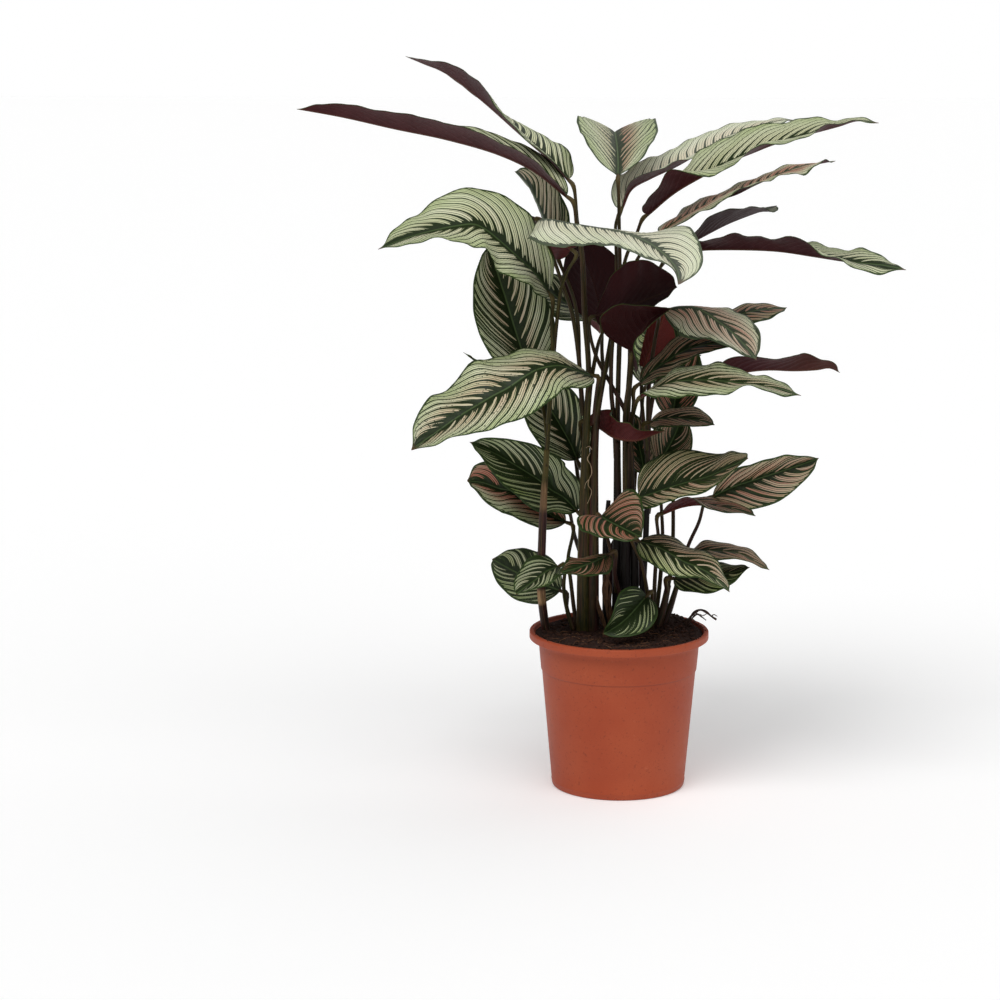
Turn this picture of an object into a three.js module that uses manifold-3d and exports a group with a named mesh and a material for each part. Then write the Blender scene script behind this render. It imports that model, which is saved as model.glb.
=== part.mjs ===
// A potted white star calathea: striped leaves with purple undersides on long
// stalks, growing from four shoots in a round nursery pot filled with soil.
// Millimetres, +Z up. The origin is the middle of the pot's flat base.
import * as THREE from "three";
import { mergeVertices } from "three/addons/utils/BufferGeometryUtils.js";
import Module from "manifold-3d";

const wasm = await Module();
wasm.setup();

// Pot
const POT_SIDES = 40;
const POT_HEIGHT = 186;
const LIP_RADIUS = 105;
const LIP_DEPTH = 9;
const LIP_INNER_RADIUS = 99.4;
const NECK_RADIUS = 94.6;
const STEP_HEIGHT = 140;
const STEP_IN = 1.0;
const BASE_RADIUS = 78.1;
const BASE_CORNER = 3;
const POT_WALL = 1.8;
const POT_FLOOR = 2.4;
const DRAIN_HOLES = 6;
const DRAIN_RADIUS = 5;
const DRAIN_RING_RADIUS = 52;

// Soil
const SOIL_TOP = 176;
const SOIL_BOTTOM = POT_FLOOR + 0.4;
const SOIL_GAP = 0.6;
const SOIL_ROUGHNESS = 2.2;
const FOOT_CLEARANCE = 0.45;

// Leaves and stalks
const BLADE_THICKNESS = 0.9;
const RIB_THICKNESS = 1.5;
const WIDEST = 0.385;
const BASE_ROUNDNESS = 0.5;
const TIP_SHARPNESS = 0.8;
const BLADE_END_HALF_WIDTH = 1.5;
const ACROSS = [0, 0.5, 1];
const STALK_SIDES = 5;
const JOINT_GAP = 0.6;
const NECK_LENGTH = 9;
const STALK_STEP = 66;

// The viewpoint from which the leaves were measured. A measured point is
// [x, z, y]: x and z are read on the upright plane through the pot's axis, and
// y moves the point along its line of sight, back from that plane or forward.
const EYE = new THREE.Vector3(0, -3500, 1007);

function at([x, z, y]) {
  const onPlane = new THREE.Vector3(x, 0, z);
  const reach = 1 - y / EYE.y;
  return onPlane.sub(EYE).multiplyScalar(reach).add(EYE);
}

// Leaves. rib: measured points from the base of the blade to its tip. width:
// across the whole blade at its widest. left and right: the angle of each half
// of the blade at even steps along the rib, turned about the rib from the
// picture plane: 0 lies flat in the picture on the half's own side, 90 points
// at the viewer, -90 points away, and more than 90 shows the underside. level:
// the angles are turned from the horizontal instead, and 90 points up.
// stalk: measured points from just below the joint down to the shoot.
const LEAVES = [
  {
    name: "leaf_01", shoot: "main", width: 94, steps: 9,
    rib: [[-64, 694, 12], [-100, 722, 16], [-140, 741, 20], [-200, 758, 28],
      [-260, 770, 34], [-320, 783, 40], [-372, 792, 46]],
    left: [102, 106, 112, 117, 124, 150],
    right: [-72, -74, -71, -66, -60, -70],
    stalk: [[-58, 680, 12], [-52, 661, 13], [-46, 622, 14], [-43, 560, 14], [-38, 500, 12],
      [-38, 455, 12]],
  },
  {
    name: "leaf_02", shoot: "main", width: 88, steps: 9,
    rib: [[-62, 713, 36], [-80, 733, 48], [-100, 750, 66], [-123, 770, 92], [-160, 802, 128],
      [-200, 832, 160], [-247, 852, 190]],
    left: [93, 90, 98, 114, 116, 110],
    right: [-48, -60, -76, -90, -93, -94],
    stalk: [[-57, 696, 32], [-51, 665, 28], [-44, 620, 26], [-41, 560, 22], [-37, 500, 16],
      [-37, 455, 13]],
  },
  {
    name: "leaf_03", shoot: "main", width: 80, steps: 7,
    rib: [[-75, 628, 100], [-82, 648, 112], [-90, 668, 128], [-97, 685, 146], [-107, 705, 166],
      [-123, 722, 188]],
    left: [-84, -90, -92, -92, -90],
    right: [30, 38, 40, 40, 44],
    stalk: [[-69, 612, 86], [-56, 580, 64], [-50, 550, 44], [-48, 500, 28], [-43, 440, 14]],
  },
  {
    name: "leaf_04", shoot: "left", width: 98, steps: 9,
    rib: [[-84, 583, 26], [-100, 605, 12], [-120, 624, -2], [-140, 642, -14], [-158, 656, -26],
      [-170, 661, -34], [-190, 659, -46], [-210, 655, -58], [-240, 647, -74], [-280, 632, -94]],
    left: [72, 68, 56, 58, 70, 78],
    right: [-35, -24, -20, -34, -48, -62],
    stalk: [[-82, 572, 24], [-80, 550, 18], [-79, 520, 14], [-80, 480, 8], [-84, 430, 4]],
  },
  {
    name: "leaf_05", shoot: "main", width: 102, steps: 10,
    rib: [[-94, 668, 0], [-80, 668, -30], [-60, 665, -52], [-25, 659, -72], [10, 651, -100],
      [35, 638, -130], [52, 620, -155], [61, 596, -172]],
    left: [-92, -94, -94, -80, -38, -15],
    right: [42, 50, 58, 64, 54, 70],
    stalk: [[-98, 668, 8], [-98, 667, 22], [-92, 652, 40], [-79, 624, 54], [-67, 590, 58],
      [-57, 560, 46], [-49, 510, 24], [-44, 440, 13]],
  },
  {
    name: "leaf_06", shoot: "left", width: 66, steps: 6,
    rib: [[-58, 633, 40], [-70, 644, 49], [-85, 654, 60], [-100, 664, 73], [-113, 673, 86]],
    left: [-125, -125, -120, -125],
    right: [-140, -138, -138, -150],
    stalk: [[-57, 621, 30], [-62, 608, 27], [-69, 588, 25], [-73, 560, 24], [-76, 530, 22],
      [-80, 480, 16], [-84, 420, 5], [-86, 380, 2]],
  },
  {
    name: "leaf_07", shoot: "main", width: 92, steps: 7,
    rib: [[-22, 552, 80], [-27, 577, 80], [-34, 601, 80], [-43, 625, 80], [-52, 648, 80]],
    left: [-152, -152, -150, -150],
    right: [-148, -146, -144, -150],
    stalk: [[-22, 543, 79], [-26, 525, 60], [-31, 500, 32], [-35, 475, 14], [-37, 450, 12]],
  },
  {
    name: "leaf_08", shoot: "centre", width: 96, steps: 7,
    rib: [[5, 563, 28], [25, 580, 6], [45, 589, -16], [60, 594, -34], [85, 596, -60]],
    left: [135, 130, 126, 122, 120],
    right: [-138, -142, -142, -140, -130],
    stalk: [[9, 552, 26], [12, 538, 25], [14, 515, 22], [14, 490, 17], [13, 460, 14],
      [12, 430, 13], [12, 395, 14]],
  },
  {
    name: "leaf_09", shoot: "centre", width: 104, steps: 8,
    rib: [[14, 515, -4], [22, 533, -28], [33, 551, -54], [45, 560, -80], [58, 566, -104]],
    left: [110, 108, 106, 106, 110],
    right: [176, 170, 154, 134, 120],
    stalk: [[11, 500, 0], [9, 480, 1], [5, 445, 4], [5, 400, 6], [6, 335, 10]],
  },
  {
    name: "leaf_10", shoot: "centre", width: 62, steps: 6,
    rib: [[27, 497, 42], [31, 512, 45], [37, 528, 48], [44, 544, 50], [50, 560, 52]],
    left: [-160, -160, -160],
    right: [-140, -140, -150],
    stalk: [[26, 485, 40], [24, 465, 34], [27, 430, 24], [31, 395, 17]],
  },
  {
    name: "leaf_11", shoot: "main", width: 72, steps: 6,
    rib: [[-32, 553, 107], [-50, 563, 117], [-70, 575, 127], [-92, 590, 137], [-110, 603, 147]],
    left: [60, 55, 50, 60],
    right: [-40, -35, -30, -40],
    stalk: [[-26, 542, 98], [-22, 515, 72], [-21, 480, 34], [-27, 440, 14]],
  },
  {
    name: "leaf_12", shoot: "left", width: 96, steps: 9,
    rib: [[-107, 492, 34], [-116, 520, 36], [-124, 545, 40], [-133, 575, 46], [-142, 603, 54],
      [-152, 640, 64]],
    left: [38, 32, 28, 30, 35],
    right: [8, 5, 5, 10, 15],
    stalk: [[-103, 482, 32], [-95, 465, 26], [-88, 440, 14], [-85, 415, 4]],
  },
  {
    name: "leaf_13", shoot: "centre", width: 104, steps: 9, level: true,
    rib: [[-5, 718, 2], [-5, 733, 30], [-6, 749, 66], [-8, 762, 110], [-9, 767, 152],
      [-9, 764, 198], [-9, 752, 242]],
    left: [30, 28, 26, 22, 10],
    right: [26, 24, 22, 18, 8],
    stalk: [[-4, 706, -1], [-4, 692, -8], [-3, 655, -5], [-2, 617, 4], [-2, 560, 14],
      [-3, 500, 18], [-4, 440, 22], [-5, 400, 24], [-3, 335, 24]],
  },
  {
    name: "leaf_14", shoot: "main", width: 96, steps: 10,
    rib: [[0, 681, 12], [10, 702, 28], [32, 715, 50], [60, 728, 76], [88, 744, 104],
      [115, 760, 131], [145, 771, 161], [178, 780, 194], [195, 781, 211]],
    left: [-60, -62, -62, -67, -70, -70],
    right: [100, 95, 88, 82, 80, 80],
    stalk: [[-4, 675, 8], [-10, 660, 12], [-14, 645, 16], [-17, 620, 22], [-17, 590, 28],
      [-16, 545, 26], [-19, 505, 18], [-23, 470, 13], [-29, 425, 13]],
  },
  {
    name: "leaf_15", shoot: "centre", width: 96, steps: 13,
    rib: [[30, 674, -16], [60, 699, -40], [100, 722, -62], [125, 735, -74], [150, 745, -84],
      [170, 753, -92], [200, 762, -104], [245, 774, -120], [265, 780, -126], [290, 778, -134]],
    left: [-75, -75, -66, -57, -55, -55, -56, -58, -60, -64, -70, -75, -75],
    right: [115, 113, 113, 118, 97, 82, 84, 99, 86, 83, 106, 88, 60],
    stalk: [[23, 662, -10], [15, 646, 8], [7, 630, 24], [2, 612, 34], [-4, 565, 34],
      [-10, 525, 26], [-11, 470, 22], [-7, 430, 22], [-5, 390, 24]],
  },
  {
    name: "leaf_16", shoot: "centre", width: 80, steps: 14,
    rib: [[45, 653, 26], [62, 665, 40], [80, 676, 56], [108, 690, 78], [130, 697, 94],
      [150, 707, 112], [175, 718, 132], [205, 729, 156], [225, 732, 172], [242, 735, 186]],
    left: [-70, -74, -80, -80, -79, -78, -77, -76, -76, -77, -80, -80, -75],
    right: [112, 107, 97, 84, 90, 98, 88, 86, 80, 70, 82, 102, 70],
    stalk: [[36, 642, 30], [18, 622, 42], [6, 590, 46], [0, 550, 34], [-2, 500, 28],
      [-3, 440, 28], [-2, 390, 26]],
  },
  {
    name: "leaf_17", shoot: "centre", width: 80, steps: 9,
    rib: [[72, 638, 30], [100, 653, 60], [120, 663, 86], [140, 671, 112], [160, 678, 138],
      [176, 684, 162]],
    left: [-84, -86, -86, -85, -82, -78, -75],
    right: [116, 116, 108, 100, 90, 80, 70],
    stalk: [[62, 630, 28], [46, 615, 38], [28, 585, 48], [12, 545, 36], [10, 500, 22],
      [8, 460, 17], [9, 425, 13], [9, 395, 12]],
  },
  {
    name: "leaf_18", shoot: "centre", width: 90, steps: 14,
    rib: [[66, 636, 2], [82, 633, -6], [100, 634, -14], [140, 634, -30], [180, 632, -47],
      [220, 626, -66], [265, 619, -87], [300, 616, -104], [325, 611, -116]],
    left: [-80, -80, -78, -76, -74, -72, -72, -70, -66, -60, -57, -60, -65],
    right: [120, 120, 107, 109, 110, 111, 107, 114, 101, 91, 68, 55, 60],
    stalk: [[57, 632, 10], [45, 614, 24], [24, 580, 38], [13, 545, 24], [13, 510, 12],
      [10, 470, 9], [8, 430, 12]],
  },
  {
    name: "leaf_19", shoot: "main", width: 98, steps: 9,
    rib: [[-33, 487, -8], [-45, 490, -18], [-70, 498, -34], [-95, 494, -46], [-110, 486, -54],
      [-130, 472, -62], [-150, 461, -72], [-190, 436, -92], [-215, 418, -104], [-243, 398, -118]],
    left: [60, 56, 38, 40, 48, 62, 70],
    right: [-66, -62, -50, -30, -18, -8, -10],
    stalk: [[-30, 484, -5], [-27, 474, 4], [-29, 455, 10], [-31, 430, 12]],
  },
  {
    name: "leaf_20", shoot: "main", width: 80, steps: 7,
    rib: [[-50, 388, 56], [-57, 405, 60], [-65, 420, 64], [-75, 437, 68], [-88, 457, 74],
      [-100, 475, 80], [-112, 497, 86]],
    left: [35, 33, 30, 35],
    right: [28, 26, 24, 30],
    stalk: [[-47, 378, 50], [-42, 376, 26], [-41, 366, 13]],
  },
  {
    name: "leaf_21", shoot: "main", width: 80, steps: 8,
    rib: [[-50, 327, 32], [-65, 343, 38], [-80, 352, 43], [-95, 364, 47], [-112, 375, 51],
      [-130, 386, 56], [-150, 397, 60], [-175, 408, 66]],
    left: [40, 38, 38, 42, 50, 60],
    right: [30, 28, 28, 32, 40, 50],
    stalk: [[-46, 318, 26], [-42, 300, 14]],
  },
  {
    name: "leaf_22", shoot: "main", width: 76, steps: 8,
    rib: [[-63, 314, 56], [-76, 320, 60], [-90, 328, 65], [-110, 342, 72], [-125, 350, 76],
      [-140, 353, 80], [-160, 360, 86], [-178, 362, 92]],
    left: [50, 48, 44, 42, 50, 60],
    right: [44, 36, 28, 18, 18, 25],
    stalk: [[-62, 303, 50], [-60, 270, 38], [-57, 245, 30], [-52, 205, 20], [-47, 180, 15],
      [-44, 160, 13]],
  },
  {
    name: "leaf_23", shoot: "main", width: 74, steps: 8,
    rib: [[-69, 232, 22], [-86, 238, 36], [-106, 246, 54], [-128, 257, 76], [-149, 269, 96]],
    left: [16, 15, 30, 50],
    right: [-26, -34, -38, -45],
    stalk: [[-66, 226, 20], [-61, 208, 17], [-53, 186, 14], [-46, 160, 13]],
  },
  {
    name: "leaf_24", shoot: "main", width: 54, steps: 7,
    rib: [[-71, 261, -12], [-85, 255, -26], [-100, 243, -42], [-112, 234, -56], [-121, 227, -66]],
    left: [55, 58, 60, 65],
    right: [-30, -30, -34, -40],
    stalk: [[-68, 255, -6], [-65, 236, 6], [-61, 210, 14], [-53, 184, 13]],
  },
  {
    name: "leaf_25", shoot: "centre", width: 52, steps: 6,
    rib: [[-13, 276, -24], [-28, 268, -34], [-42, 262, -46], [-56, 257, -58], [-69, 254, -68]],
    left: [46, 46, 48, 56],
    right: [-66, -66, -58, -60],
    stalk: [[-9, 270, -18], [-5, 252, -4], [1, 228, 10], [6, 200, 17]],
  },
  {
    name: "leaf_26", shoot: "centre", width: 92, steps: 8,
    rib: [[-22, 321, -28], [-14, 316, -46], [0, 309, -68], [12, 303, -88], [20, 299, -104],
      [26, 297, -118]],
    left: [-5, 0, 3, 3, 0],
    right: [68, 64, 58, 54, 58],
    stalk: [[-20, 314, -22], [-16, 300, -8], [-8, 270, 8], [-3, 230, 20]],
  },
  {
    name: "leaf_27", shoot: "right", width: 64, steps: 7,
    rib: [[32, 226, -22], [24, 217, -30], [12, 203, -40], [0, 192, -50], [-19, 180, -62]],
    left: [35, 32, 32, 45],
    right: [35, 36, 40, 48],
    stalk: [[35, 222, -14], [37, 205, 2], [39, 180, 12], [41, 160, 17]],
  },
  {
    name: "leaf_28", shoot: "centre", width: 88, steps: 9,
    rib: [[50, 565, -14], [66, 568, -20], [84, 567, -28], [100, 559, -38], [112, 550, -46],
      [125, 540, -56], [140, 525, -68], [156, 506, -82]],
    left: [-100, -94, -66, -48, -36, -34],
    right: [52, 40, 34, 44, 54, 60],
    stalk: [[44, 560, -6], [43, 553, 12], [40, 535, 31], [37, 515, 35], [34, 492, 31],
      [32, 462, 22], [32, 430, 17], [32, 405, 16]],
  },
  {
    name: "leaf_29", shoot: "centre", width: 46, steps: 6,
    rib: [[108, 548, 15], [128, 556, 25], [148, 562, 37], [168, 565, 51], [190, 567, 65]],
    left: [-60, -62, -65, -70],
    right: [60, 56, 54, 60],
    stalk: [[100, 543, 14], [80, 529, 26], [60, 508, 33], [42, 478, 30], [34, 442, 20],
      [32, 410, 16]],
  },
  {
    name: "leaf_30", shoot: "centre", width: 70, steps: 10,
    rib: [[108, 481, 56], [125, 487, 55], [147, 493, 58], [170, 495, 63], [200, 494, 72],
      [225, 495, 80], [240, 497, 86], [252, 492, 92]],
    left: [-66, -68, -68, -70, -72, -74, -75],
    right: [130, 130, 116, 115, 135, 128, 110],
    stalk: [[98, 476, 58], [88, 466, 80], [72, 440, 88], [52, 405, 66], [38, 370, 34],
      [32, 330, 17]],
  },
  {
    name: "leaf_31", shoot: "centre", width: 58, steps: 8,
    rib: [[22, 478, 12], [40, 495, 9], [55, 505, 4], [70, 515, -3], [90, 522, -12],
      [110, 524, -22], [127, 521, -32]],
    left: [-22, -26, -38, -50, -56, -66],
    right: [66, 64, 60, 56, 58, 62],
    stalk: [[19, 471, 13], [15, 455, 13], [13, 430, 13], [12, 400, 14]],
  },
  {
    name: "leaf_32", shoot: "centre", width: 72, steps: 10,
    rib: [[27, 464, -44], [45, 474, -64], [62, 480, -80], [85, 482, -94], [105, 482, -104],
      [145, 478, -120], [185, 472, -134], [208, 465, -142]],
    left: [-72, -72, -64, -58, -58, -60, -62, -66, -70],
    right: [82, 88, 70, 58, 58, 66, 84, 62, 58],
    stalk: [[22, 460, -34], [16, 448, -18], [12, 425, 4], [12, 395, 14]],
  },
  {
    name: "leaf_33", shoot: "right", width: 66, steps: 7,
    rib: [[60, 440, 68], [63, 460, 68], [66, 485, 70], [67, 510, 74], [66, 530, 80],
      [63, 548, 86]],
    left: [34, 32, 32, 40],
    right: [32, 30, 28, 32],
    stalk: [[60, 428, 68], [61, 400, 66], [62, 335, 50], [62, 290, 38], [59, 250, 27],
      [52, 215, 22], [43, 178, 18], [41, 152, 17]],
  },
  {
    name: "leaf_34", shoot: "centre", width: 54, steps: 6,
    rib: [[35, 433, -8], [48, 437, -14], [62, 438, -20], [80, 436, -26], [95, 434, -32],
      [109, 430, -38]],
    left: [-60, -62, -56, -56, -64],
    right: [68, 68, 64, 66],
    stalk: [[32, 429, 0], [29, 418, 8], [31, 400, 14]],
  },
  {
    name: "leaf_35", shoot: "main", width: 56, steps: 9,
    rib: [[-38, 431, 40], [-28, 428, 33], [-20, 423, 21], [-12, 417, 3], [-4, 413, -14],
      [6, 411, -27], [20, 411, -36], [36, 417, -44], [52, 423, -52]],
    left: [30, 28, 14, -8, -25, -40],
    right: [142, 142, 148, 150, 140, 125],
    stalk: [[-41, 424, 40], [-42, 400, 26], [-39, 372, 13]],
  },
  {
    name: "leaf_36", shoot: "centre", width: 60, steps: 6,
    rib: [[46, 388, 40], [55, 402, 41], [62, 416, 43], [67, 428, 45], [71, 440, 48]],
    left: [32, 30, 35],
    right: [30, 30, 35],
    stalk: [[43, 380, 38], [38, 360, 30], [33, 325, 19]],
  },
  {
    name: "leaf_37", shoot: "centre", width: 44, steps: 6,
    rib: [[28, 372, 48], [25, 390, 52], [21, 408, 56], [16, 428, 62], [10, 446, 68]],
    left: [40, 35, 40],
    right: [35, 30, 40],
    stalk: [[27, 362, 44], [22, 340, 30], [14, 310, 20]],
  },
  {
    name: "leaf_38", shoot: "centre", width: 94, steps: 9,
    rib: [[22, 343, -16], [45, 351, -34], [65, 358, -50], [85, 364, -66], [105, 370, -84],
      [125, 380, -104], [148, 391, -126]],
    left: [-42, -48, -50, -54, -60],
    right: [72, 72, 70, 66, 62],
    stalk: [[17, 339, -10], [12, 325, 4], [10, 300, 14]],
  },
  {
    name: "leaf_39", shoot: "right", width: 70, steps: 8,
    rib: [[108, 346, 22], [130, 357, 32], [150, 364, 40], [168, 370, 46], [200, 381, 60],
      [230, 392, 72]],
    left: [54, 56, 58, 62],
    right: [25, 14, 10, 10, 14],
    stalk: [[102, 338, 20], [92, 315, 22], [80, 287, 25], [70, 248, 27], [60, 212, 28],
      [48, 176, 22], [43, 152, 18]],
  },
  {
    name: "leaf_40", shoot: "right", width: 58, steps: 8,
    rib: [[52, 326, 2], [70, 333, -6], [90, 336, -16], [110, 334, -26], [132, 331, -36],
      [158, 323, -48]],
    left: [-80, -76, -72, -68, -68],
    right: [104, 106, 102, 84, 74, 68],
    stalk: [[49, 316, 6], [45, 296, 12], [42, 258, 20], [41, 215, 20], [42, 180, 18]],
  },
  {
    name: "leaf_41", shoot: "right", width: 68, steps: 9,
    rib: [[23, 292, -30], [45, 285, -42], [60, 277, -52], [75, 268, -60], [90, 262, -70],
      [105, 254, -80], [120, 242, -90], [129, 232, -98]],
    left: [-52, -56, -52, -54, -60],
    right: [48, 46, 54, 58, 64],
    stalk: [[22, 286, -20], [26, 265, -6], [33, 230, 8], [39, 190, 16], [41, 160, 17]],
  },
  {
    name: "leaf_42", shoot: "right", width: 52, steps: 7,
    rib: [[80, 276, 14], [97, 281, 2], [115, 281, -8], [140, 278, -18], [155, 270, -26],
      [175, 259, -36]],
    left: [-62, -66, -66, -70],
    right: [64, 68, 68, 72],
    stalk: [[76, 268, 20], [70, 256, 30], [64, 226, 28]],
  },
  {
    name: "leaf_43", shoot: "right", width: 54, steps: 7,
    rib: [[64, 248, 8], [85, 249, 0], [106, 250, -6], [130, 255, -14], [152, 262, -22]],
    left: [-50, -52, -56, -60],
    right: [50, 46, 46, 56],
    stalk: [[59, 246, 14], [56, 232, 21]],
  },
  {
    name: "leaf_44", shoot: "centre", width: 56, steps: 7,
    rib: [[6, 226, 42], [6, 246, 40], [7, 266, 38], [8, 288, 38], [9, 312, 40]],
    left: [-152, -150, -150],
    right: [-152, -150, -150],
    stalk: [[6, 216, 40], [5, 196, 32], [4, 170, 24]],
  },
  {
    name: "leaf_45", shoot: "main", width: 88, steps: 6, level: true,
    rib: [[-8, 545, 112], [-10, 560, 150], [-14, 568, 200], [-18, 568, 250], [-22, 556, 300],
      [-25, 536, 340]],
    left: [20, 18, 16, 16],
    right: [20, 18, 16, 16],
    stalk: [[-8, 535, 100], [-13, 510, 60], [-19, 485, 24], [-25, 450, 14], [-29, 420, 13]],
  },
  {
    name: "leaf_46", shoot: "centre", width: 84, steps: 6, level: true,
    rib: [[30, 475, 104], [42, 490, 140], [54, 499, 190], [62, 497, 245], [68, 486, 300]],
    left: [24, 22, 20, 20],
    right: [24, 22, 20, 20],
    stalk: [[27, 465, 94], [24, 440, 84], [20, 410, 76], [18, 380, 66], [16, 350, 46],
      [13, 315, 20]],
  },
  {
    name: "leaf_47", shoot: "main", width: 64, steps: 7,
    rib: [[-68, 480, 104], [-92, 492, 134], [-118, 499, 166], [-146, 500, 196], [-166, 504, 216],
      [-182, 513, 232]],
    left: [24, 30, 60, 84, 88],
    right: [22, 30, 60, 80, 86],
    stalk: [[-62, 472, 96], [-57, 440, 98], [-53, 400, 94], [-47, 350, 60], [-41, 290, 14]],
  },
  {
    name: "leaf_48", shoot: "main", width: 76, steps: 6, level: true,
    rib: [[-62, 330, 116], [-74, 344, 150], [-86, 352, 196], [-94, 350, 244], [-100, 338, 290]],
    left: [24, 22, 20, 20],
    right: [24, 22, 20, 20],
    stalk: [[-59, 322, 104], [-52, 296, 60], [-40, 262, 14]],
  },
  {
    name: "leaf_49", shoot: "right", width: 76, steps: 6, level: true,
    rib: [[50, 350, 94], [58, 364, 130], [66, 372, 176], [72, 368, 224], [78, 354, 268]],
    left: [24, 22, 20, 20],
    right: [24, 22, 20, 20],
    stalk: [[49, 340, 84], [50, 300, 58], [48, 250, 36], [43, 200, 20]],
  },
];

// Shoots: the sheathed lower stalks that stand in the soil and carry the
// leaf stalks. Each is a list of stems, and each stem is a list of
// [x, z, y, radius] from inside the soil upwards.
const SHOOTS = {
  left: [
    [[-81, 150, 8, 4.8], [-85, 180, 8, 5.0], [-91, 232, 4, 5.0], [-90, 300, 2, 4.8],
      [-88, 352, 2, 4.6], [-87, 366, 2, 3.6], [-85, 400, 3, 3.4]],
  ],
  main: [
    [[-42, 150, 14, 8], [-42, 250, 12, 7.4], [-41, 330, 11, 7], [-40, 400, 11, 6.2],
      [-38, 450, 12, 4.6], [-37, 470, 12, 3.4]],
    [[-31, 150, 16, 8], [-31, 250, 14, 7.4], [-31, 330, 13, 7], [-30, 400, 13, 6],
      [-27, 450, 13, 4.6], [-24, 475, 14, 3.2]],
  ],
  centre: [
    [[-3, 150, 26, 6], [-3, 250, 26, 5.4], [-3, 335, 25, 4.8], [-4, 410, 24, 3.6]],
    [[6, 150, 18, 6.5], [7, 250, 16, 5.8], [8, 335, 13, 5.2], [9, 410, 12, 4.2]],
    [[14, 150, 24, 6], [18, 250, 21, 5.4], [14, 335, 18, 5], [12, 400, 15, 4]],
    [[22, 150, 22, 4.5], [28, 250, 18, 4], [31, 320, 17, 3.4], [32, 425, 16, 2.6]],
  ],
  right: [
    [[41, 150, 17, 5.4], [43, 180, 18, 5], [52, 215, 22, 4.4], [57, 240, 24, 3.4]],
    [[47, 150, 22, 5], [50, 182, 23, 4.6], [60, 215, 27, 4], [68, 242, 26, 3]],
  ],
};

const STALK_TOP_RADIUS = 2.1;
const STALK_BOTTOM_RADIUS = 2.9;

const COLOURS = {
  pot: 0x9d4c33,
  soil: 0x2b1d16,
  leaf: 0x9dad86,
  stalk: 0x4d4a2c,
};

// Smooth curve through points, read at a share s of its length.
function curveThrough(points) {
  const curve = new THREE.CatmullRomCurve3(points, false, "centripetal");
  const pointAt = (s) => curve.getPointAt(Math.min(Math.max(s, 0), 1));
  const tangentAt = (s) => pointAt(s + 0.02).sub(pointAt(s - 0.02)).normalize();
  return { total: curve.getLength(), pointAt, tangentAt };
}

// Value at s, from 0 to 1, of a list of values at even steps.
function along(values, s) {
  const place = Math.min(Math.max(s, 0), 1) * (values.length - 1);
  const i = Math.min(Math.floor(place), values.length - 2);
  return values[i] + (values[i + 1] - values[i]) * (place - i);
}

// Half of the blade's breadth at s, as a share of half its width.
function outline(s) {
  const rise = Math.pow(s / WIDEST, BASE_ROUNDNESS);
  const fall = Math.pow((1 - s) / (1 - WIDEST), TIP_SHARPNESS);
  return rise * fall;
}

// Unit directions at a point of the rib: along it, to its left in the picture,
// and towards the viewer; or, for a level leaf, to its left from above, and up.
function frameAt(curve, s, level) {
  const point = curve.pointAt(s);
  const ahead = curve.tangentAt(s);
  const sight = level ? new THREE.Vector3(0, 0, 1) : EYE.clone().sub(point).normalize();
  const left = sight.cross(ahead).normalize();
  const near = ahead.clone().cross(left).normalize();
  return { point, ahead, left, near };
}

function closedGeometry(positions, triangles) {
  const geometry = new THREE.BufferGeometry();
  geometry.setAttribute("position", new THREE.Float32BufferAttribute(positions, 3));
  geometry.setIndex(triangles);
  return geometry;
}

// A leaf blade: two halves that meet at the rib, thickest along it.
function bladeGeometry(leaf) {
  const curve = curveThrough(leaf.rib.map(at));
  const columns = [...ACROSS.slice(1).reverse().map((v) => -v), ...ACROSS];
  const upper = [];
  const lower = [];
  for (let i = 0; i <= leaf.steps; i++) {
    const even = i / leaf.steps;
    const s = even - 0.32 * even * (1 - even) * (1 - 1.4 * even);
    const { point, ahead, left, near } = frameAt(curve, s, leaf.level);
    const half = Math.max((leaf.width / 2) * outline(s), BLADE_END_HALF_WIDTH);
    const directions = {};
    const normals = {};
    for (const side of ["left", "right"]) {
      const angle = THREE.MathUtils.degToRad(along(leaf[side], s));
      const own = side === "left" ? left.clone() : left.clone().negate();
      directions[side] = own
        .clone()
        .multiplyScalar(Math.cos(angle))
        .addScaledVector(near, Math.sin(angle));
      normals[side] = near
        .clone()
        .multiplyScalar(Math.cos(angle))
        .addScaledVector(own, -Math.sin(angle));
    }
    const ribNormal = normals.left.clone().add(normals.right).normalize();
    const upperRow = [];
    const lowerRow = [];
    for (const v of columns) {
      const side = v < 0 ? "left" : "right";
      const centre = point.clone().addScaledVector(directions[side], half * Math.abs(v));
      const normal = v === 0 ? ribNormal : normals[side];
      const below = v === 0 ? BLADE_THICKNESS / 2 + RIB_THICKNESS * (1 - s) : BLADE_THICKNESS / 2;
      upperRow.push(centre.clone().addScaledVector(normal, BLADE_THICKNESS / 2));
      lowerRow.push(centre.clone().addScaledVector(normal, -below));
    }
    upper.push(upperRow);
    lower.push(lowerRow);
  }
  return shellGeometry(upper, lower);
}

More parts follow.
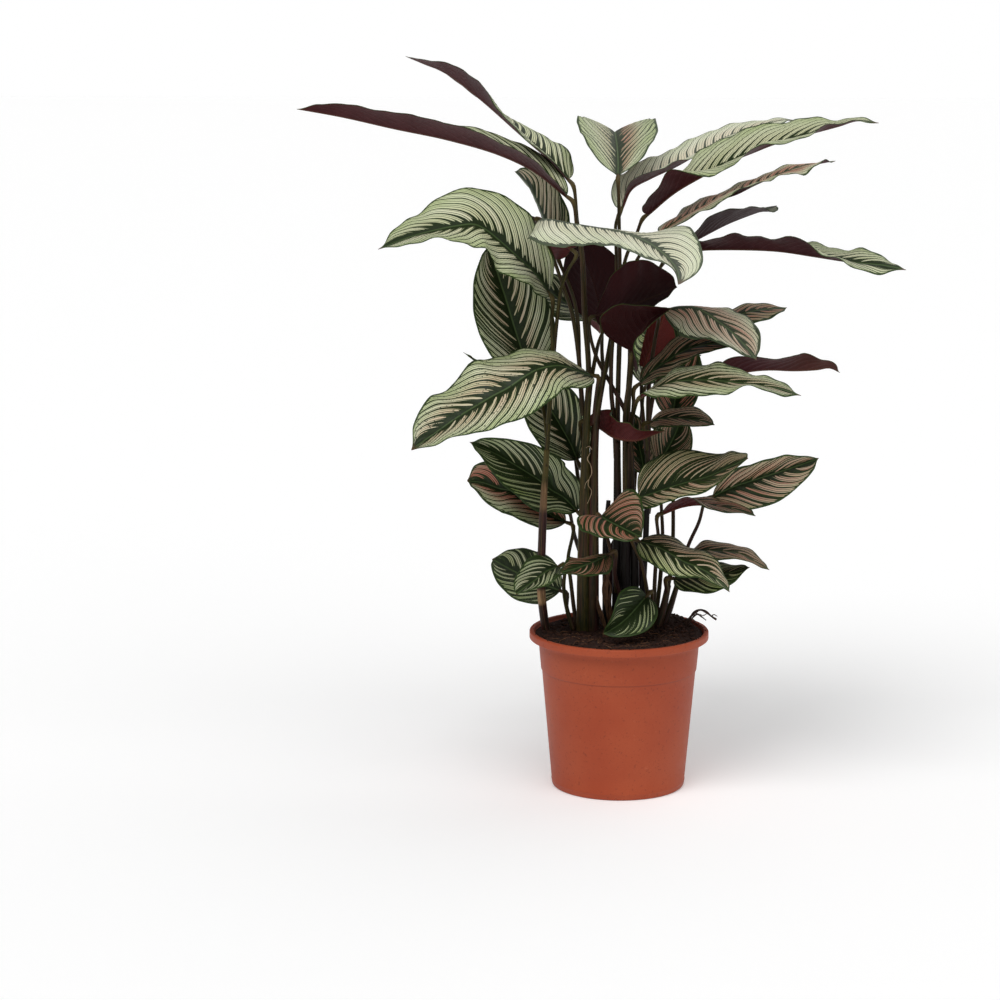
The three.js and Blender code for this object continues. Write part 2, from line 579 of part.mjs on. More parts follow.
// Closed shell between two equal grids of points, whose rows run across.
function shellGeometry(upper, lower) {
  const rows = upper.length;
  const across = upper[0].length;
  const positions = [];
  for (const grid of [upper, lower]) {
    for (const row of grid) {
      for (const p of row) positions.push(p.x, p.y, p.z);
    }
  }
  const top = (i, j) => i * across + j;
  const under = (i, j) => rows * across + i * across + j;
  const triangles = [];
  const quad = (a, b, c, d) => triangles.push(a, b, c, a, c, d);
  for (let i = 0; i < rows - 1; i++) {
    for (let j = 0; j < across - 1; j++) {
      quad(top(i, j), top(i, j + 1), top(i + 1, j + 1), top(i + 1, j));
      triangles.push(under(i, j), under(i + 1, j + 1), under(i, j + 1));
      triangles.push(under(i, j), under(i + 1, j), under(i + 1, j + 1));
    }
    quad(top(i + 1, 0), under(i + 1, 0), under(i, 0), top(i, 0));
    const e = across - 1;
    quad(top(i, e), under(i, e), under(i + 1, e), top(i + 1, e));
  }
  for (let j = 0; j < across - 1; j++) {
    const e = rows - 1;
    quad(top(0, j), under(0, j), under(0, j + 1), top(0, j + 1));
    quad(top(e, j + 1), under(e, j + 1), under(e, j), top(e, j));
  }
  return closedGeometry(positions, triangles);
}

// A round stem through points, with a radius at each and closed ends.
function stemGeometry(points, radii, sides, grow = 0) {
  const ends = [0, points.length - 1];
  const spread = points.map((p) => p.clone());
  for (const end of ends) {
    const inward = end === 0 ? 1 : points.length - 2;
    const outward = points[end].clone().sub(points[inward]).normalize();
    spread[end].addScaledVector(outward, 2 * grow);
  }
  const curve = curveThrough(spread);
  const neck = NECK_LENGTH / curve.total;
  const bends = Math.max(2, Math.ceil(curve.total / STALK_STEP));
  const stations = [0];
  for (let i = 0; i <= bends; i++) stations.push(neck + ((1 - neck) * i) / bends);
  const steps = bends + 1;
  const positions = [];
  const triangles = [];
  const ring = (i, k) => i * sides + (k % sides);
  for (let i = 0; i <= steps; i++) {
    const s = stations[i];
    const point = curve.pointAt(s);
    const ahead = curve.tangentAt(s);
    const across = new THREE.Vector3(0, 1, 0).cross(ahead).normalize();
    const back = ahead.clone().cross(across).normalize();
    const radius = along(radii, s) + grow;
    for (let k = 0; k < sides; k++) {
      const angle = (2 * Math.PI * k) / sides;
      const p = point
        .clone()
        .addScaledVector(across, radius * Math.cos(angle))
        .addScaledVector(back, radius * Math.sin(angle));
      positions.push(p.x, p.y, p.z);
    }
  }
  for (let i = 0; i < steps; i++) {
    for (let k = 0; k < sides; k++) {
      triangles.push(ring(i, k), ring(i, k + 1), ring(i + 1, k + 1));
      triangles.push(ring(i, k), ring(i + 1, k + 1), ring(i + 1, k));
    }
  }
  for (let k = 1; k < sides - 1; k++) {
    triangles.push(ring(0, 0), ring(0, k + 1), ring(0, k));
    triangles.push(ring(steps, 0), ring(steps, k), ring(steps, k + 1));
  }
  return closedGeometry(positions, triangles);
}

function solidOf(geometry) {
  const bare = geometry.clone();
  bare.deleteAttribute("normal");
  bare.deleteAttribute("uv");
  const merged = mergeVertices(bare, 1e-4);
  return new wasm.Manifold(
    new wasm.Mesh({
      numProp: 3,
      vertProperties: new Float32Array(merged.attributes.position.array),
      triVerts: new Uint32Array(merged.index.array),
    }),
  );
}

function geometryOf(solid) {
  const mesh = solid.getMesh();
  return closedGeometry(Array.from(mesh.vertProperties), Array.from(mesh.triVerts));
}

// Stems of one shoot: its sheaths and the stalk of each of its leaves. grow
// makes every stem thicker all round.
function stemsOf(shoot, grow) {
  const stems = SHOOTS[shoot].map((stem) => {
    const points = stem.map(([x, z, y]) => at([x, z, y]));
    const radii = stem.map((point) => point[3]);
    return stemGeometry(points, radii, STALK_SIDES + 2, grow);
  });
  for (const leaf of LEAVES) {
    if (leaf.shoot !== shoot) continue;
    const rib = curveThrough(leaf.rib.map(at));
    const joint = rib.pointAt(0).addScaledVector(rib.tangentAt(0), -JOINT_GAP);
    const neck = joint.clone().addScaledVector(rib.tangentAt(0), -NECK_LENGTH);
    const points = [joint, neck, ...leaf.stalk.slice(1).map(at)];
    const radii = [STALK_TOP_RADIUS, STALK_BOTTOM_RADIUS];
    stems.push(stemGeometry(points, radii, STALK_SIDES, grow));
  }
  return stems;
}

function lathe(profile, sides) {
  const points = profile.map(([radius, height]) => new THREE.Vector2(radius, height));
  const geometry = new THREE.LatheGeometry(points, sides);
  geometry.rotateX(Math.PI / 2);
  return geometry;
}

function potWallAt(height, outer) {
  const share = (height - BASE_CORNER) / (POT_HEIGHT - LIP_DEPTH - BASE_CORNER);
  const step = height > STEP_HEIGHT ? STEP_IN : 0;
  return outer + (NECK_RADIUS - STEP_IN - outer) * share + step;
}

function potGeometry() {
  const underLip = POT_HEIGHT - LIP_DEPTH;
  const inner = BASE_RADIUS - POT_WALL;
  const profile = [
    [0, 0],
    [BASE_RADIUS - BASE_CORNER, 0],
    [BASE_RADIUS, BASE_CORNER],
    [potWallAt(STEP_HEIGHT - 1, BASE_RADIUS), STEP_HEIGHT - 1],
    [potWallAt(STEP_HEIGHT + 1, BASE_RADIUS), STEP_HEIGHT + 1],
    [NECK_RADIUS, underLip],
    [LIP_RADIUS - 0.6, underLip + 0.6],
    [LIP_RADIUS, POT_HEIGHT - 1],
    [LIP_RADIUS - 1, POT_HEIGHT],
    [LIP_INNER_RADIUS + 0.8, POT_HEIGHT],
    [LIP_INNER_RADIUS, POT_HEIGHT - 1.4],
    [NECK_RADIUS - POT_WALL, underLip - 3],
    [inner, POT_FLOOR + 4],
    [inner - 4, POT_FLOOR],
    [0, POT_FLOOR],
  ];
  let pot = solidOf(lathe(profile, POT_SIDES));
  for (let i = 0; i < DRAIN_HOLES; i++) {
    const angle = (2 * Math.PI * (i + 0.5)) / DRAIN_HOLES;
    const hole = new THREE.CylinderGeometry(DRAIN_RADIUS, DRAIN_RADIUS, 20, 8);
    hole.rotateX(Math.PI / 2);
    hole.translate(DRAIN_RING_RADIUS * Math.cos(angle), DRAIN_RING_RADIUS * Math.sin(angle), 0);
    pot = pot.subtract(solidOf(hole));
  }
  return geometryOf(pot);
}

// Height of the soil above its level, at a place on it.
function soilRelief(x, y) {
  const swell = Math.sin(x * 0.061 + 1.3) * Math.cos(y * 0.053 - 0.4);
  const ripple = Math.sin(x * 0.17 - y * 0.12 + 0.6) * Math.sin(y * 0.19 + x * 0.07);
  const bank = 0.5 * Math.max(0, (x + y * 0.6 - 40) / 55);
  return SOIL_ROUGHNESS * (0.6 * swell + 0.4 * ripple + bank);
}

function soilGeometry() {
  const innerAt = (height) => {
    const share = (height - POT_FLOOR - 4) / (POT_HEIGHT - LIP_DEPTH - 7 - POT_FLOOR);
    const bottom = BASE_RADIUS - POT_WALL;
    const top = NECK_RADIUS - POT_WALL;
    return bottom + (top - bottom) * share - SOIL_GAP;
  };
  const edge = innerAt(SOIL_TOP - 4.5);
  const profile = [
    [0, SOIL_BOTTOM],
    [innerAt(POT_FLOOR + 4) - 4.4, SOIL_BOTTOM],
    [innerAt(POT_FLOOR + 4.4), POT_FLOOR + 4.4],
    [edge, SOIL_TOP - 4.5],
    [edge - 4, SOIL_TOP],
    [edge * 0.8, SOIL_TOP],
    [edge * 0.6, SOIL_TOP],
    [edge * 0.36, SOIL_TOP],
    [edge * 0.16, SOIL_TOP],
    [0, SOIL_TOP],
  ];
  const geometry = lathe(profile, POT_SIDES);
  const position = geometry.attributes.position;
  for (let i = 0; i < position.count; i++) {
    if (position.getZ(i) < SOIL_TOP - 1) continue;
    const x = position.getX(i);
    const y = position.getY(i);
    position.setZ(i, SOIL_TOP + soilRelief(x, y));
  }
  let soil = solidOf(geometry);
  for (const shoot of Object.keys(SHOOTS)) {
    for (const stem of stemsOf(shoot, FOOT_CLEARANCE)) {
      stem.computeBoundingBox();
      if (stem.boundingBox.min.z > SOIL_TOP + 8) continue;
      soil = soil.subtract(solidOf(stem));
    }
  }
  return geometryOf(soil);
}

const plant = new THREE.Group();

function addPart(name, geometry, colour, roughness) {
  const plain = mergeVertices(geometry, 1e-4).toNonIndexed();
  plain.computeVertexNormals();
  const material = new THREE.MeshStandardMaterial({ color: colour, roughness, metalness: 0 });
  const mesh = new THREE.Mesh(plain, material);
  mesh.name = name;
  plant.add(mesh);
}

addPart("pot", potGeometry(), COLOURS.pot, 0.55);
addPart("soil", soilGeometry(), COLOURS.soil, 0.95);
for (const shoot of Object.keys(SHOOTS)) {
  const stems = stemsOf(shoot, 0).map(solidOf);
  const joined = stems.reduce((whole, stem) => whole.add(stem));
  addPart(`stalks_${shoot}`, geometryOf(joined), COLOURS.stalk, 0.5);
}
for (const leaf of LEAVES) {
  addPart(leaf.name, bladeGeometry(leaf), COLOURS.leaf, 0.45);
}

export default plant;
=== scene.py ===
import math
import random

import bpy
import numpy as np
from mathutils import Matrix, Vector, noise


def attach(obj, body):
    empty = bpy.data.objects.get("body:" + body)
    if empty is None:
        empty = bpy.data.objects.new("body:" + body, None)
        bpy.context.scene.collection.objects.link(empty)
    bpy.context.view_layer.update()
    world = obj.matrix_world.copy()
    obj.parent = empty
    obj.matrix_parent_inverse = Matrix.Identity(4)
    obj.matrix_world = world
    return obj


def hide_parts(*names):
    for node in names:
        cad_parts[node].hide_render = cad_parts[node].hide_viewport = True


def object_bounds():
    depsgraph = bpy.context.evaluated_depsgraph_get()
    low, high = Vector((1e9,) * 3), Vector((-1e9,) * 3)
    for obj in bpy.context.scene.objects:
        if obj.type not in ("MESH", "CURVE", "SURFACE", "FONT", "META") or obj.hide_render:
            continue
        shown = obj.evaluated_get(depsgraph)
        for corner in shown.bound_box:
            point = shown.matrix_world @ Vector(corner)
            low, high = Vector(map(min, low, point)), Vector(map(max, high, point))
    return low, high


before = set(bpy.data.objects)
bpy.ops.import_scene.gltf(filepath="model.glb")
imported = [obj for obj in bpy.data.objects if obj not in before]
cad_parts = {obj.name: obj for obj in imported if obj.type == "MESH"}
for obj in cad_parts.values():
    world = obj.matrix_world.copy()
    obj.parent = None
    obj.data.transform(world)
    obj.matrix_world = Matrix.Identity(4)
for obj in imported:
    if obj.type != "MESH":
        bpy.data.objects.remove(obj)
cad_low, cad_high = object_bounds()
cad_low = [float(value) for value in cad_low]
cad_high = [float(value) for value in cad_high]

MM = 0.001

# Pot
POT_SIDES = 192
POT_HEIGHT = 186
LIP_RADIUS = 105
LIP_DEPTH = 9
UNDER_LIP = POT_HEIGHT - LIP_DEPTH
LIP_INNER_RADIUS = 99.4
LIP_LOWER_CORNER = 1.2
LIP_UPPER_CORNER = 1.6
LIP_INNER_CORNER = 1.5
NECK_RADIUS = 94.6
STEP_HEIGHT = 140
STEP_IN = 1.0
BASE_RADIUS = 78.1
BASE_CORNER = 3
FOOT_RIDGE = 0.35
WALL_RINGS = (30, 55, 80, 105, 125)
NECK_RINGS = (150, 160, 170)
POT_WALL = 1.8
POT_FLOOR = 2.4
DRAIN_HOLES = 6
DRAIN_RADIUS = 5
DRAIN_SIDES = 32
DRAIN_RING_RADIUS = 52

# Soil
SOIL_TOP = 182.2
SOIL_RIM_RADIUS = 98.1
SOIL_HEAP = 9
SOIL_HEAP_SPREAD = 24
SOIL_BOTTOM = POT_FLOOR + 0.4
SOIL_GAP = 0.6
SOIL_ROUGHNESS = 2.2
SOIL_RINGS = 64
SOIL_SIDES = 224
SOIL_SEED = 7
CRUMBS = 3000
SMALLEST_CRUMB = 0.5
CRUMB_GROWTH = 2.3
LIP_CRUMBS = 46
LIP_CRUMB_SIZES = (0.35, 0.9)
FIBRES = 90
FIBRE_POINTS = 7
FIBRE_STEPS = (1.5, 3.5)
FIBRE_RADII = (0.2, 0.42)

# Leaves and stalks. A blade is widest at a share of its length.
WIDEST = 0.385
BASE_ROUNDNESS = 0.5
TIP_SHARPNESS = 0.8
BLADE_END_HALF_WIDTH = 1.5
BLADE_THICKNESS = 0.5
RIB_THICKNESS = 1.7
RIB_SPREAD = 1.5
GROOVE_DEPTH = 0.5
GROOVE_SPREAD = 1.2
VEIN_SPACING = 14
FEWEST_VEINS = 8
MOST_VEINS = 20
VEIN_RELIEF = 0.42
WAVE_LENGTH = 70
RUFFLE = 0.012
BLADE_ROWS = 88
BLADE_COLUMNS = 16
FIRST_BLADE_SEED = 100
JOINT_GAP = 0.6
NECK_LENGTH = 9
JOINT_MIDDLE = 12
STALK_TOP_RADIUS = 1.85
STALK_BOTTOM_RADIUS = 2.85
STALK_SIDES = 14
STALK_STEP = 3.5
FEWEST_STALK_STEPS = 14
SHEATH_SIDES = 32
SHEATH_STEP = 3
SHEATH_LAP = 1.0
THREAD_STEP = 1.5
FEWEST_THREAD_STEPS = 8

# The left stem: heights between which it turns dry and green again, in a patch
# and in a ring, and heights between which it turns from purple to light green.
DRY_PATCH = (322, 334, 352, 366)
DRY_RING = (214, 218, 230, 235)
PURPLE_ENDS = (340, 372)
LIGHT_BEGINS = (362, 372)

# The viewpoint from which the leaves were measured. A measured point is
# (x, z, y): x and z are read on the upright plane through the pot's axis, and
# y moves the point along its line of sight, back from that plane or forward.
EYE = np.array([0.0, -3500.0, 1007.0])
SEEN_MIDDLE = np.array([-139.7, 0.0, 339.7])
LENS = 110.1
SENSOR_WIDTH = 36

# Room
FLOOR_REACH_METRES = 14
FLOOR_GLOW = 0.12
ROOM_LIGHT = 0.30
ROOM_SEEN = 1.0
WHITE = (1.0, 1.0, 1.0, 1.0)


def at(point):
    x, z, y = point
    on_plane = np.array([x, 0.0, z])
    return (on_plane - EYE) * (1 - y / EYE[1]) + EYE


# Leaves 1 to 49. shoot: the group of stems that the stalk grows from. width:
# across the whole blade at its widest. left and right: the angle of each half
# of the blade at even steps along the rib, turned about the rib from the
# picture plane: 0 lies flat in the picture on the half's own side, 90 points
# at the viewer, -90 points away, and more than 90 shows the underside. level:
# the angles are turned from the horizontal instead, and 90 points up. rib:
# measured points from the base of the blade to its tip. stalk: measured points
# from below the joint down to the shoot.
LEAVES = [
    dict(shoot="main", width=94,
         left=[102, 106, 112, 117, 124, 150], right=[-48, -60, -64, -66, -60, -70],
         rib=[(-64, 694, 12), (-100, 722, 16), (-140, 741, 20), (-200, 758, 28), (-260, 770, 34),
              (-320, 783, 40), (-372, 792, 46)],
         stalk=[(-52, 661, 13), (-46, 622, 14), (-43, 560, 14), (-38, 500, 12), (-38, 455, 12)]),
    dict(shoot="main", width=88,
         left=[93, 90, 98, 113, 108, 98], right=[-44, -56, -74, -90, -93, -94],
         rib=[(-62, 713, 36), (-80, 733, 48), (-100, 750, 66), (-123, 770, 92), (-160, 802, 128),
              (-200, 832, 160), (-247, 852, 190)],
         stalk=[(-51, 665, 28), (-44, 620, 26), (-41, 560, 22), (-37, 500, 16), (-37, 455, 13)]),
    dict(shoot="main", width=80, left=[-84, -90, -92, -92, -90], right=[30, 38, 40, 40, 44],
         rib=[(-75, 628, 100), (-82, 648, 112), (-90, 668, 128), (-97, 685, 146),
              (-107, 705, 166), (-123, 722, 188)],
         stalk=[(-56, 580, 64), (-50, 550, 44), (-48, 500, 28), (-43, 440, 14)]),
    dict(shoot="left", width=98,
         left=[72, 68, 56, 58, 70, 78], right=[-35, -24, -20, -34, -48, -62],
         rib=[(-84, 583, 26), (-100, 605, 12), (-120, 624, -2), (-140, 642, -14),
              (-158, 656, -26), (-170, 661, -34), (-190, 659, -46), (-210, 655, -58),
              (-240, 647, -74), (-280, 632, -94)],
         stalk=[(-80, 550, 18), (-79, 520, 14), (-80, 480, 8), (-84, 430, 4)]),
    dict(shoot="main", width=102,
         left=[-150, -122, -102, -76, -20, -10], right=[42, 50, 58, 64, 54, 70],
         rib=[(-94, 668, 0), (-80, 668, -30), (-60, 664, -52), (-30, 659, -72), (-4, 654, -92),
              (24, 644, -116), (42, 633, -134), (55, 621, -150), (64, 607, -164), (65, 593, -173)],
         stalk=[(-98, 667, 22), (-92, 652, 40), (-79, 624, 54), (-67, 590, 58), (-57, 560, 46),
                (-49, 510, 24), (-44, 440, 13)]),
    dict(shoot="left", width=66, left=[-125, -125, -120, -125], right=[-140, -138, -138, -150],
         rib=[(-58, 633, 40), (-70, 644, 49), (-85, 654, 60), (-100, 664, 73), (-113, 673, 86)],
         stalk=[(-62, 608, 27), (-69, 588, 25), (-73, 560, 24), (-76, 530, 22), (-80, 480, 16),
                (-84, 420, 5), (-86, 380, 2)]),
    dict(shoot="main", width=92, left=[-152, -152, -150, -150], right=[-148, -146, -144, -150],
         rib=[(-22, 552, 80), (-27, 577, 80), (-34, 601, 80), (-43, 625, 80), (-52, 648, 80)],
         stalk=[(-26, 525, 60), (-31, 500, 32), (-35, 475, 14), (-37, 450, 12)]),
    dict(shoot="centre", width=112,
         left=[150, 140, 130, 122, 116], right=[-146, -150, -152, -150, -140],
         rib=[(-29, 556, 28), (-10, 562, 10), (12, 569, -14), (38, 579, -40), (64, 590, -66)],
         stalk=[(-36, 536, 44), (-28, 508, 38), (-12, 478, 28), (4, 448, 19), (11, 420, 14),
                (12, 395, 14)]),
    dict(shoot="centre", width=104, left=[110, 108, 106, 106, 110], right=[176, 170, 154, 134, 120],
         rib=[(14, 515, -4), (22, 533, -28), (33, 551, -54), (45, 560, -80), (58, 566, -104)],
         stalk=[(9, 480, 1), (5, 445, 4), (5, 400, 6), (6, 335, 10)]),
    dict(shoot="centre", width=62, left=[-160, -160, -160], right=[-140, -140, -150],
         rib=[(27, 497, 42), (31, 512, 45), (37, 528, 48), (44, 544, 50), (50, 560, 52)],
         stalk=[(24, 465, 34), (27, 430, 24), (31, 395, 17)]),
    dict(shoot="main", width=72, left=[60, 55, 50, 60], right=[-40, -35, -30, -40],
         rib=[(-32, 553, 107), (-50, 563, 117), (-70, 575, 127), (-92, 590, 137),
              (-110, 603, 147)],
         stalk=[(-22, 515, 72), (-21, 480, 34), (-27, 440, 14)]),
    dict(shoot="left", width=96, left=[38, 32, 28, 30, 35], right=[8, 5, 5, 10, 15],
         rib=[(-107, 492, 34), (-116, 520, 36), (-124, 545, 40), (-133, 575, 46), (-142, 603, 54),
              (-152, 640, 64)],
         stalk=[(-95, 465, 26), (-88, 440, 14), (-85, 415, 4)]),
    dict(shoot="centre", width=104, level=True,
         left=[30, 28, 26, 22, 10], right=[26, 24, 22, 18, 8],
         rib=[(-5, 718, 2), (-5, 733, 30), (-6, 749, 66), (-8, 762, 110), (-9, 767, 152),
              (-9, 764, 198), (-9, 752, 242)],
         stalk=[(-4, 692, -8), (-3, 655, 8), (-2, 617, 34), (-2, 560, 50), (-3, 500, 36),
                (-4, 440, 22), (-5, 400, 24), (-3, 335, 24)]),
    dict(shoot="main", width=96,
         left=[-60, -62, -62, -67, -70, -70], right=[100, 95, 88, 82, 80, 80],
         rib=[(0, 681, 12), (10, 702, 28), (32, 715, 50), (60, 728, 76), (88, 744, 104),
              (115, 760, 131), (145, 771, 161), (178, 780, 194), (195, 781, 211)],
         stalk=[(-7, 662, 18), (-7, 648, 28), (-6, 620, 46), (-6, 590, 60), (-10, 545, 56),
                (-16, 505, 32), (-23, 470, 13), (-29, 425, 13)]),
    dict(shoot="centre", width=96,
         left=[-75, -75, -66, -57, -55, -55, -56, -58, -60, -64, -70, -75, -75],
         right=[115, 113, 113, 118, 97, 82, 84, 99, 86, 83, 106, 88, 60],
         rib=[(30, 674, -16), (60, 699, -40), (100, 722, -62), (125, 735, -74), (150, 745, -84),
              (170, 753, -92), (200, 762, -104), (245, 774, -120), (265, 780, -126),
              (290, 778, -134)],
         stalk=[(15, 646, 8), (7, 630, 24), (2, 612, 34), (-4, 565, 34), (-10, 525, 26),
                (-11, 470, 22), (-7, 430, 22), (-5, 390, 24)]),
    dict(shoot="centre", width=80,
         left=[-70, -74, -80, -80, -79, -78, -77, -76, -76, -77, -80, -80, -75],
         right=[78, 76, 80, 84, 90, 96, 88, 84, 80, 70, 80, 100, 70],
         rib=[(45, 653, 26), (62, 665, 40), (80, 676, 56), (108, 690, 78), (130, 697, 94),
              (150, 707, 112), (175, 718, 132), (205, 729, 156), (225, 732, 172), (242, 735, 186)],
         stalk=[(18, 622, 42), (6, 590, 46), (0, 550, 34), (-2, 500, 28), (-3, 440, 28),
                (-2, 390, 26)]),
    dict(shoot="centre", width=80,
         left=[-84, -86, -86, -85, -82, -78, -75], right=[116, 116, 108, 100, 88, 76, 68],
         rib=[(72, 638, 30), (100, 653, 60), (120, 663, 86), (140, 671, 112), (160, 678, 138),
              (176, 684, 162)],
         stalk=[(46, 615, 38), (28, 585, 48), (12, 545, 36), (10, 500, 22), (8, 460, 17),
                (9, 425, 13), (9, 395, 12)]),
    dict(shoot="centre", width=90,
         left=[-80, -80, -78, -76, -74, -72, -72, -70, -66, -60, -57, -60, -65],
         right=[120, 120, 107, 109, 110, 111, 107, 114, 101, 91, 68, 55, 60],
         rib=[(66, 636, 2), (82, 633, -6), (100, 634, -14), (140, 634, -30), (180, 632, -47),
              (220, 626, -66), (265, 619, -87), (300, 616, -104), (325, 611, -116)],
         stalk=[(45, 614, 24), (24, 580, 38), (13, 545, 24), (13, 510, 12), (10, 470, 9),
                (8, 430, 12)]),
    dict(shoot="main", width=98,
         left=[60, 56, 38, 40, 48, 62, 70], right=[-66, -62, -48, -30, -44, -18, -6],
         rib=[(-33, 487, -8), (-45, 490, -18), (-70, 498, -34), (-95, 494, -46), (-110, 486, -54),
              (-130, 472, -62), (-150, 461, -72), (-190, 436, -92), (-215, 418, -104),
              (-243, 398, -118)],
         stalk=[(-27, 474, 4), (-29, 455, 10), (-31, 430, 12)]),
    dict(shoot="main", width=80, left=[35, 33, 30, 35], right=[28, 26, 24, 30],
         rib=[(-50, 388, 56), (-57, 405, 60), (-65, 420, 64), (-75, 437, 68), (-88, 457, 74),
              (-100, 475, 80), (-112, 497, 86)],
         stalk=[(-42, 376, 26), (-41, 366, 13)]),
    dict(shoot="main", width=80, left=[40, 38, 38, 42, 50, 60], right=[30, 28, 28, 32, 40, 50],
         rib=[(-50, 327, 32), (-65, 343, 38), (-80, 352, 43), (-95, 364, 47), (-112, 375, 51),
              (-130, 386, 56), (-150, 397, 60), (-175, 408, 66)],
         stalk=[(-42, 300, 14)]),
    dict(shoot="main", width=76, left=[50, 48, 44, 42, 50, 60], right=[44, 36, 28, 18, 18, 25],
         rib=[(-63, 314, 56), (-76, 320, 60), (-90, 328, 65), (-110, 342, 72), (-125, 350, 76),
              (-140, 353, 80), (-160, 360, 86), (-178, 362, 92)],
         stalk=[(-60, 270, 38), (-57, 245, 30), (-52, 205, 20), (-47, 180, 15), (-44, 160, 13)]),
    dict(shoot="main", width=70, left=[30, 34, 44, 55], right=[-6, -9, -13, -20],
         rib=[(-69, 232, 22), (-86, 238, 36), (-106, 246, 54), (-128, 257, 76), (-149, 269, 96)],
         stalk=[(-61, 208, 17), (-53, 186, 14), (-46, 160, 13)]),
    dict(shoot="main", width=54, left=[55, 58, 60, 65], right=[-30, -30, -34, -40],
         rib=[(-71, 261, -12), (-85, 255, -26), (-100, 243, -42), (-112, 234, -56),
              (-121, 227, -66)],
         stalk=[(-65, 236, 6), (-61, 210, 14), (-53, 184, 13)]),
    dict(shoot="centre", width=52, left=[46, 46, 48, 56], right=[-66, -66, -58, -60],
         rib=[(-13, 276, -24), (-28, 268, -34), (-42, 262, -46), (-56, 257, -58), (-69, 254, -68)],
         stalk=[(-5, 252, -4), (1, 228, 10), (6, 200, 17)]),
    dict(shoot="centre", width=92, left=[-5, 0, 3, 3, 0], right=[68, 64, 58, 54, 58],
         rib=[(-22, 321, -28), (-14, 316, -46), (0, 309, -68), (12, 303, -88), (20, 299, -104),
              (26, 297, -118)],
         stalk=[(-16, 300, -8), (-8, 270, 8), (-3, 230, 20)]),
    dict(shoot="right", width=64, left=[35, 32, 32, 45], right=[35, 36, 40, 48],
         rib=[(32, 226, -22), (24, 217, -30), (12, 203, -40), (0, 192, -50), (-19, 180, -62)],
         stalk=[(37, 205, 2), (39, 180, 12), (41, 160, 17)]),
    dict(shoot="centre", width=88,
         left=[-100, -94, -66, -48, -36, -34], right=[52, 40, 34, 44, 54, 60],
         rib=[(50, 565, -14), (66, 568, -20), (84, 567, -28), (100, 559, -38), (112, 550, -46),
              (125, 540, -56), (140, 525, -68), (156, 506, -82)],
         stalk=[(43, 553, 12), (40, 535, 31), (37, 515, 35), (34, 492, 31), (32, 462, 22),
                (32, 430, 17), (32, 405, 16)]),
    dict(shoot="centre", width=46, left=[-60, -62, -65, -70], right=[60, 56, 54, 60],
         rib=[(108, 548, 15), (128, 556, 25), (148, 562, 37), (168, 565, 51), (190, 567, 65)],
         stalk=[(80, 529, 26), (60, 508, 33), (42, 478, 30), (34, 442, 20), (32, 410, 16)]),
    dict(shoot="centre", width=70,
         left=[-66, -68, -68, -70, -72, -74, -75], right=[130, 130, 116, 115, 135, 128, 110],
         rib=[(108, 481, 56), (125, 487, 55), (147, 493, 58), (170, 495, 63), (200, 494, 72),
              (225, 495, 80), (240, 497, 86), (252, 492, 92)],
         stalk=[(88, 466, 80), (72, 440, 88), (52, 405, 66), (38, 370, 34), (32, 330, 17)]),
    dict(shoot="centre", width=58,
         left=[-48, -52, -54, -54, -58, -66], right=[66, 64, 60, 56, 58, 62],
         rib=[(22, 478, 12), (40, 495, 9), (55, 505, 4), (70, 515, -3), (90, 522, -12),
              (110, 524, -22), (127, 521, -32)],
         stalk=[(15, 455, 13), (13, 430, 13), (12, 400, 14)]),
    dict(shoot="centre", width=72,
         left=[-72, -72, -64, -58, -58, -60, -62, -66, -70],
         right=[82, 88, 70, 58, 58, 66, 84, 62, 58],
         rib=[(27, 464, -44), (45, 474, -64), (62, 480, -80), (85, 482, -94), (105, 482, -104),
              (145, 478, -120), (185, 472, -134), (208, 465, -142)],
         stalk=[(16, 448, -18), (12, 425, 4), (12, 395, 14)]),
    dict(shoot="right", width=66, left=[34, 32, 32, 40], right=[32, 30, 28, 32],
         rib=[(60, 440, 68), (63, 460, 68), (66, 485, 70), (67, 510, 74), (66, 530, 80),
              (63, 548, 86)],
         stalk=[(61, 400, 66), (62, 335, 50), (62, 290, 38), (59, 250, 27), (52, 215, 22),
                (43, 178, 18), (41, 152, 17)]),
    dict(shoot="centre", width=54, left=[-60, -62, -56, -56, -64], right=[68, 68, 64, 66],
         rib=[(35, 433, -8), (48, 437, -14), (62, 438, -20), (80, 436, -26), (95, 434, -32),
              (109, 430, -38)],
         stalk=[(29, 418, 8), (31, 400, 14)]),
    dict(shoot="main", width=56,
         left=[-60, -60, -60, -62, -65, -60], right=[142, 142, 148, 150, 140, 125],
         rib=[(-38, 431, 40), (-28, 428, 33), (-20, 423, 21), (-12, 417, 3), (-4, 413, -14),
              (6, 411, -27), (20, 411, -36), (36, 417, -44), (52, 423, -52)],
         stalk=[(-42, 400, 26), (-39, 372, 13)]),
    dict(shoot="centre", width=60, left=[32, 30, 35], right=[30, 30, 35],
         rib=[(46, 388, 40), (55, 402, 41), (62, 416, 43), (67, 428, 45), (71, 440, 48)],
         stalk=[(38, 360, 30), (33, 325, 19)]),
    dict(shoot="centre", width=44, left=[40, 35, 40], right=[35, 30, 40],
         rib=[(28, 372, 48), (25, 390, 52), (21, 408, 56), (16, 428, 62), (10, 446, 68)],
         stalk=[(22, 340, 30), (14, 310, 20)]),
    dict(shoot="centre", width=94, left=[-16, -26, -44, -60, -69, -72], right=[72, 72, 70, 66, 62],
         rib=[(22, 343, -16), (45, 351, -34), (65, 358, -50), (85, 364, -66), (105, 370, -84),
              (125, 380, -104), (148, 391, -126)],
         stalk=[(12, 325, 4), (10, 300, 14)]),
    dict(shoot="right", width=70, left=[54, 56, 58, 62], right=[25, 14, 10, 10, 14],
         rib=[(108, 346, 22), (130, 357, 32), (150, 364, 40), (168, 370, 46), (200, 381, 60),
              (230, 392, 72)],
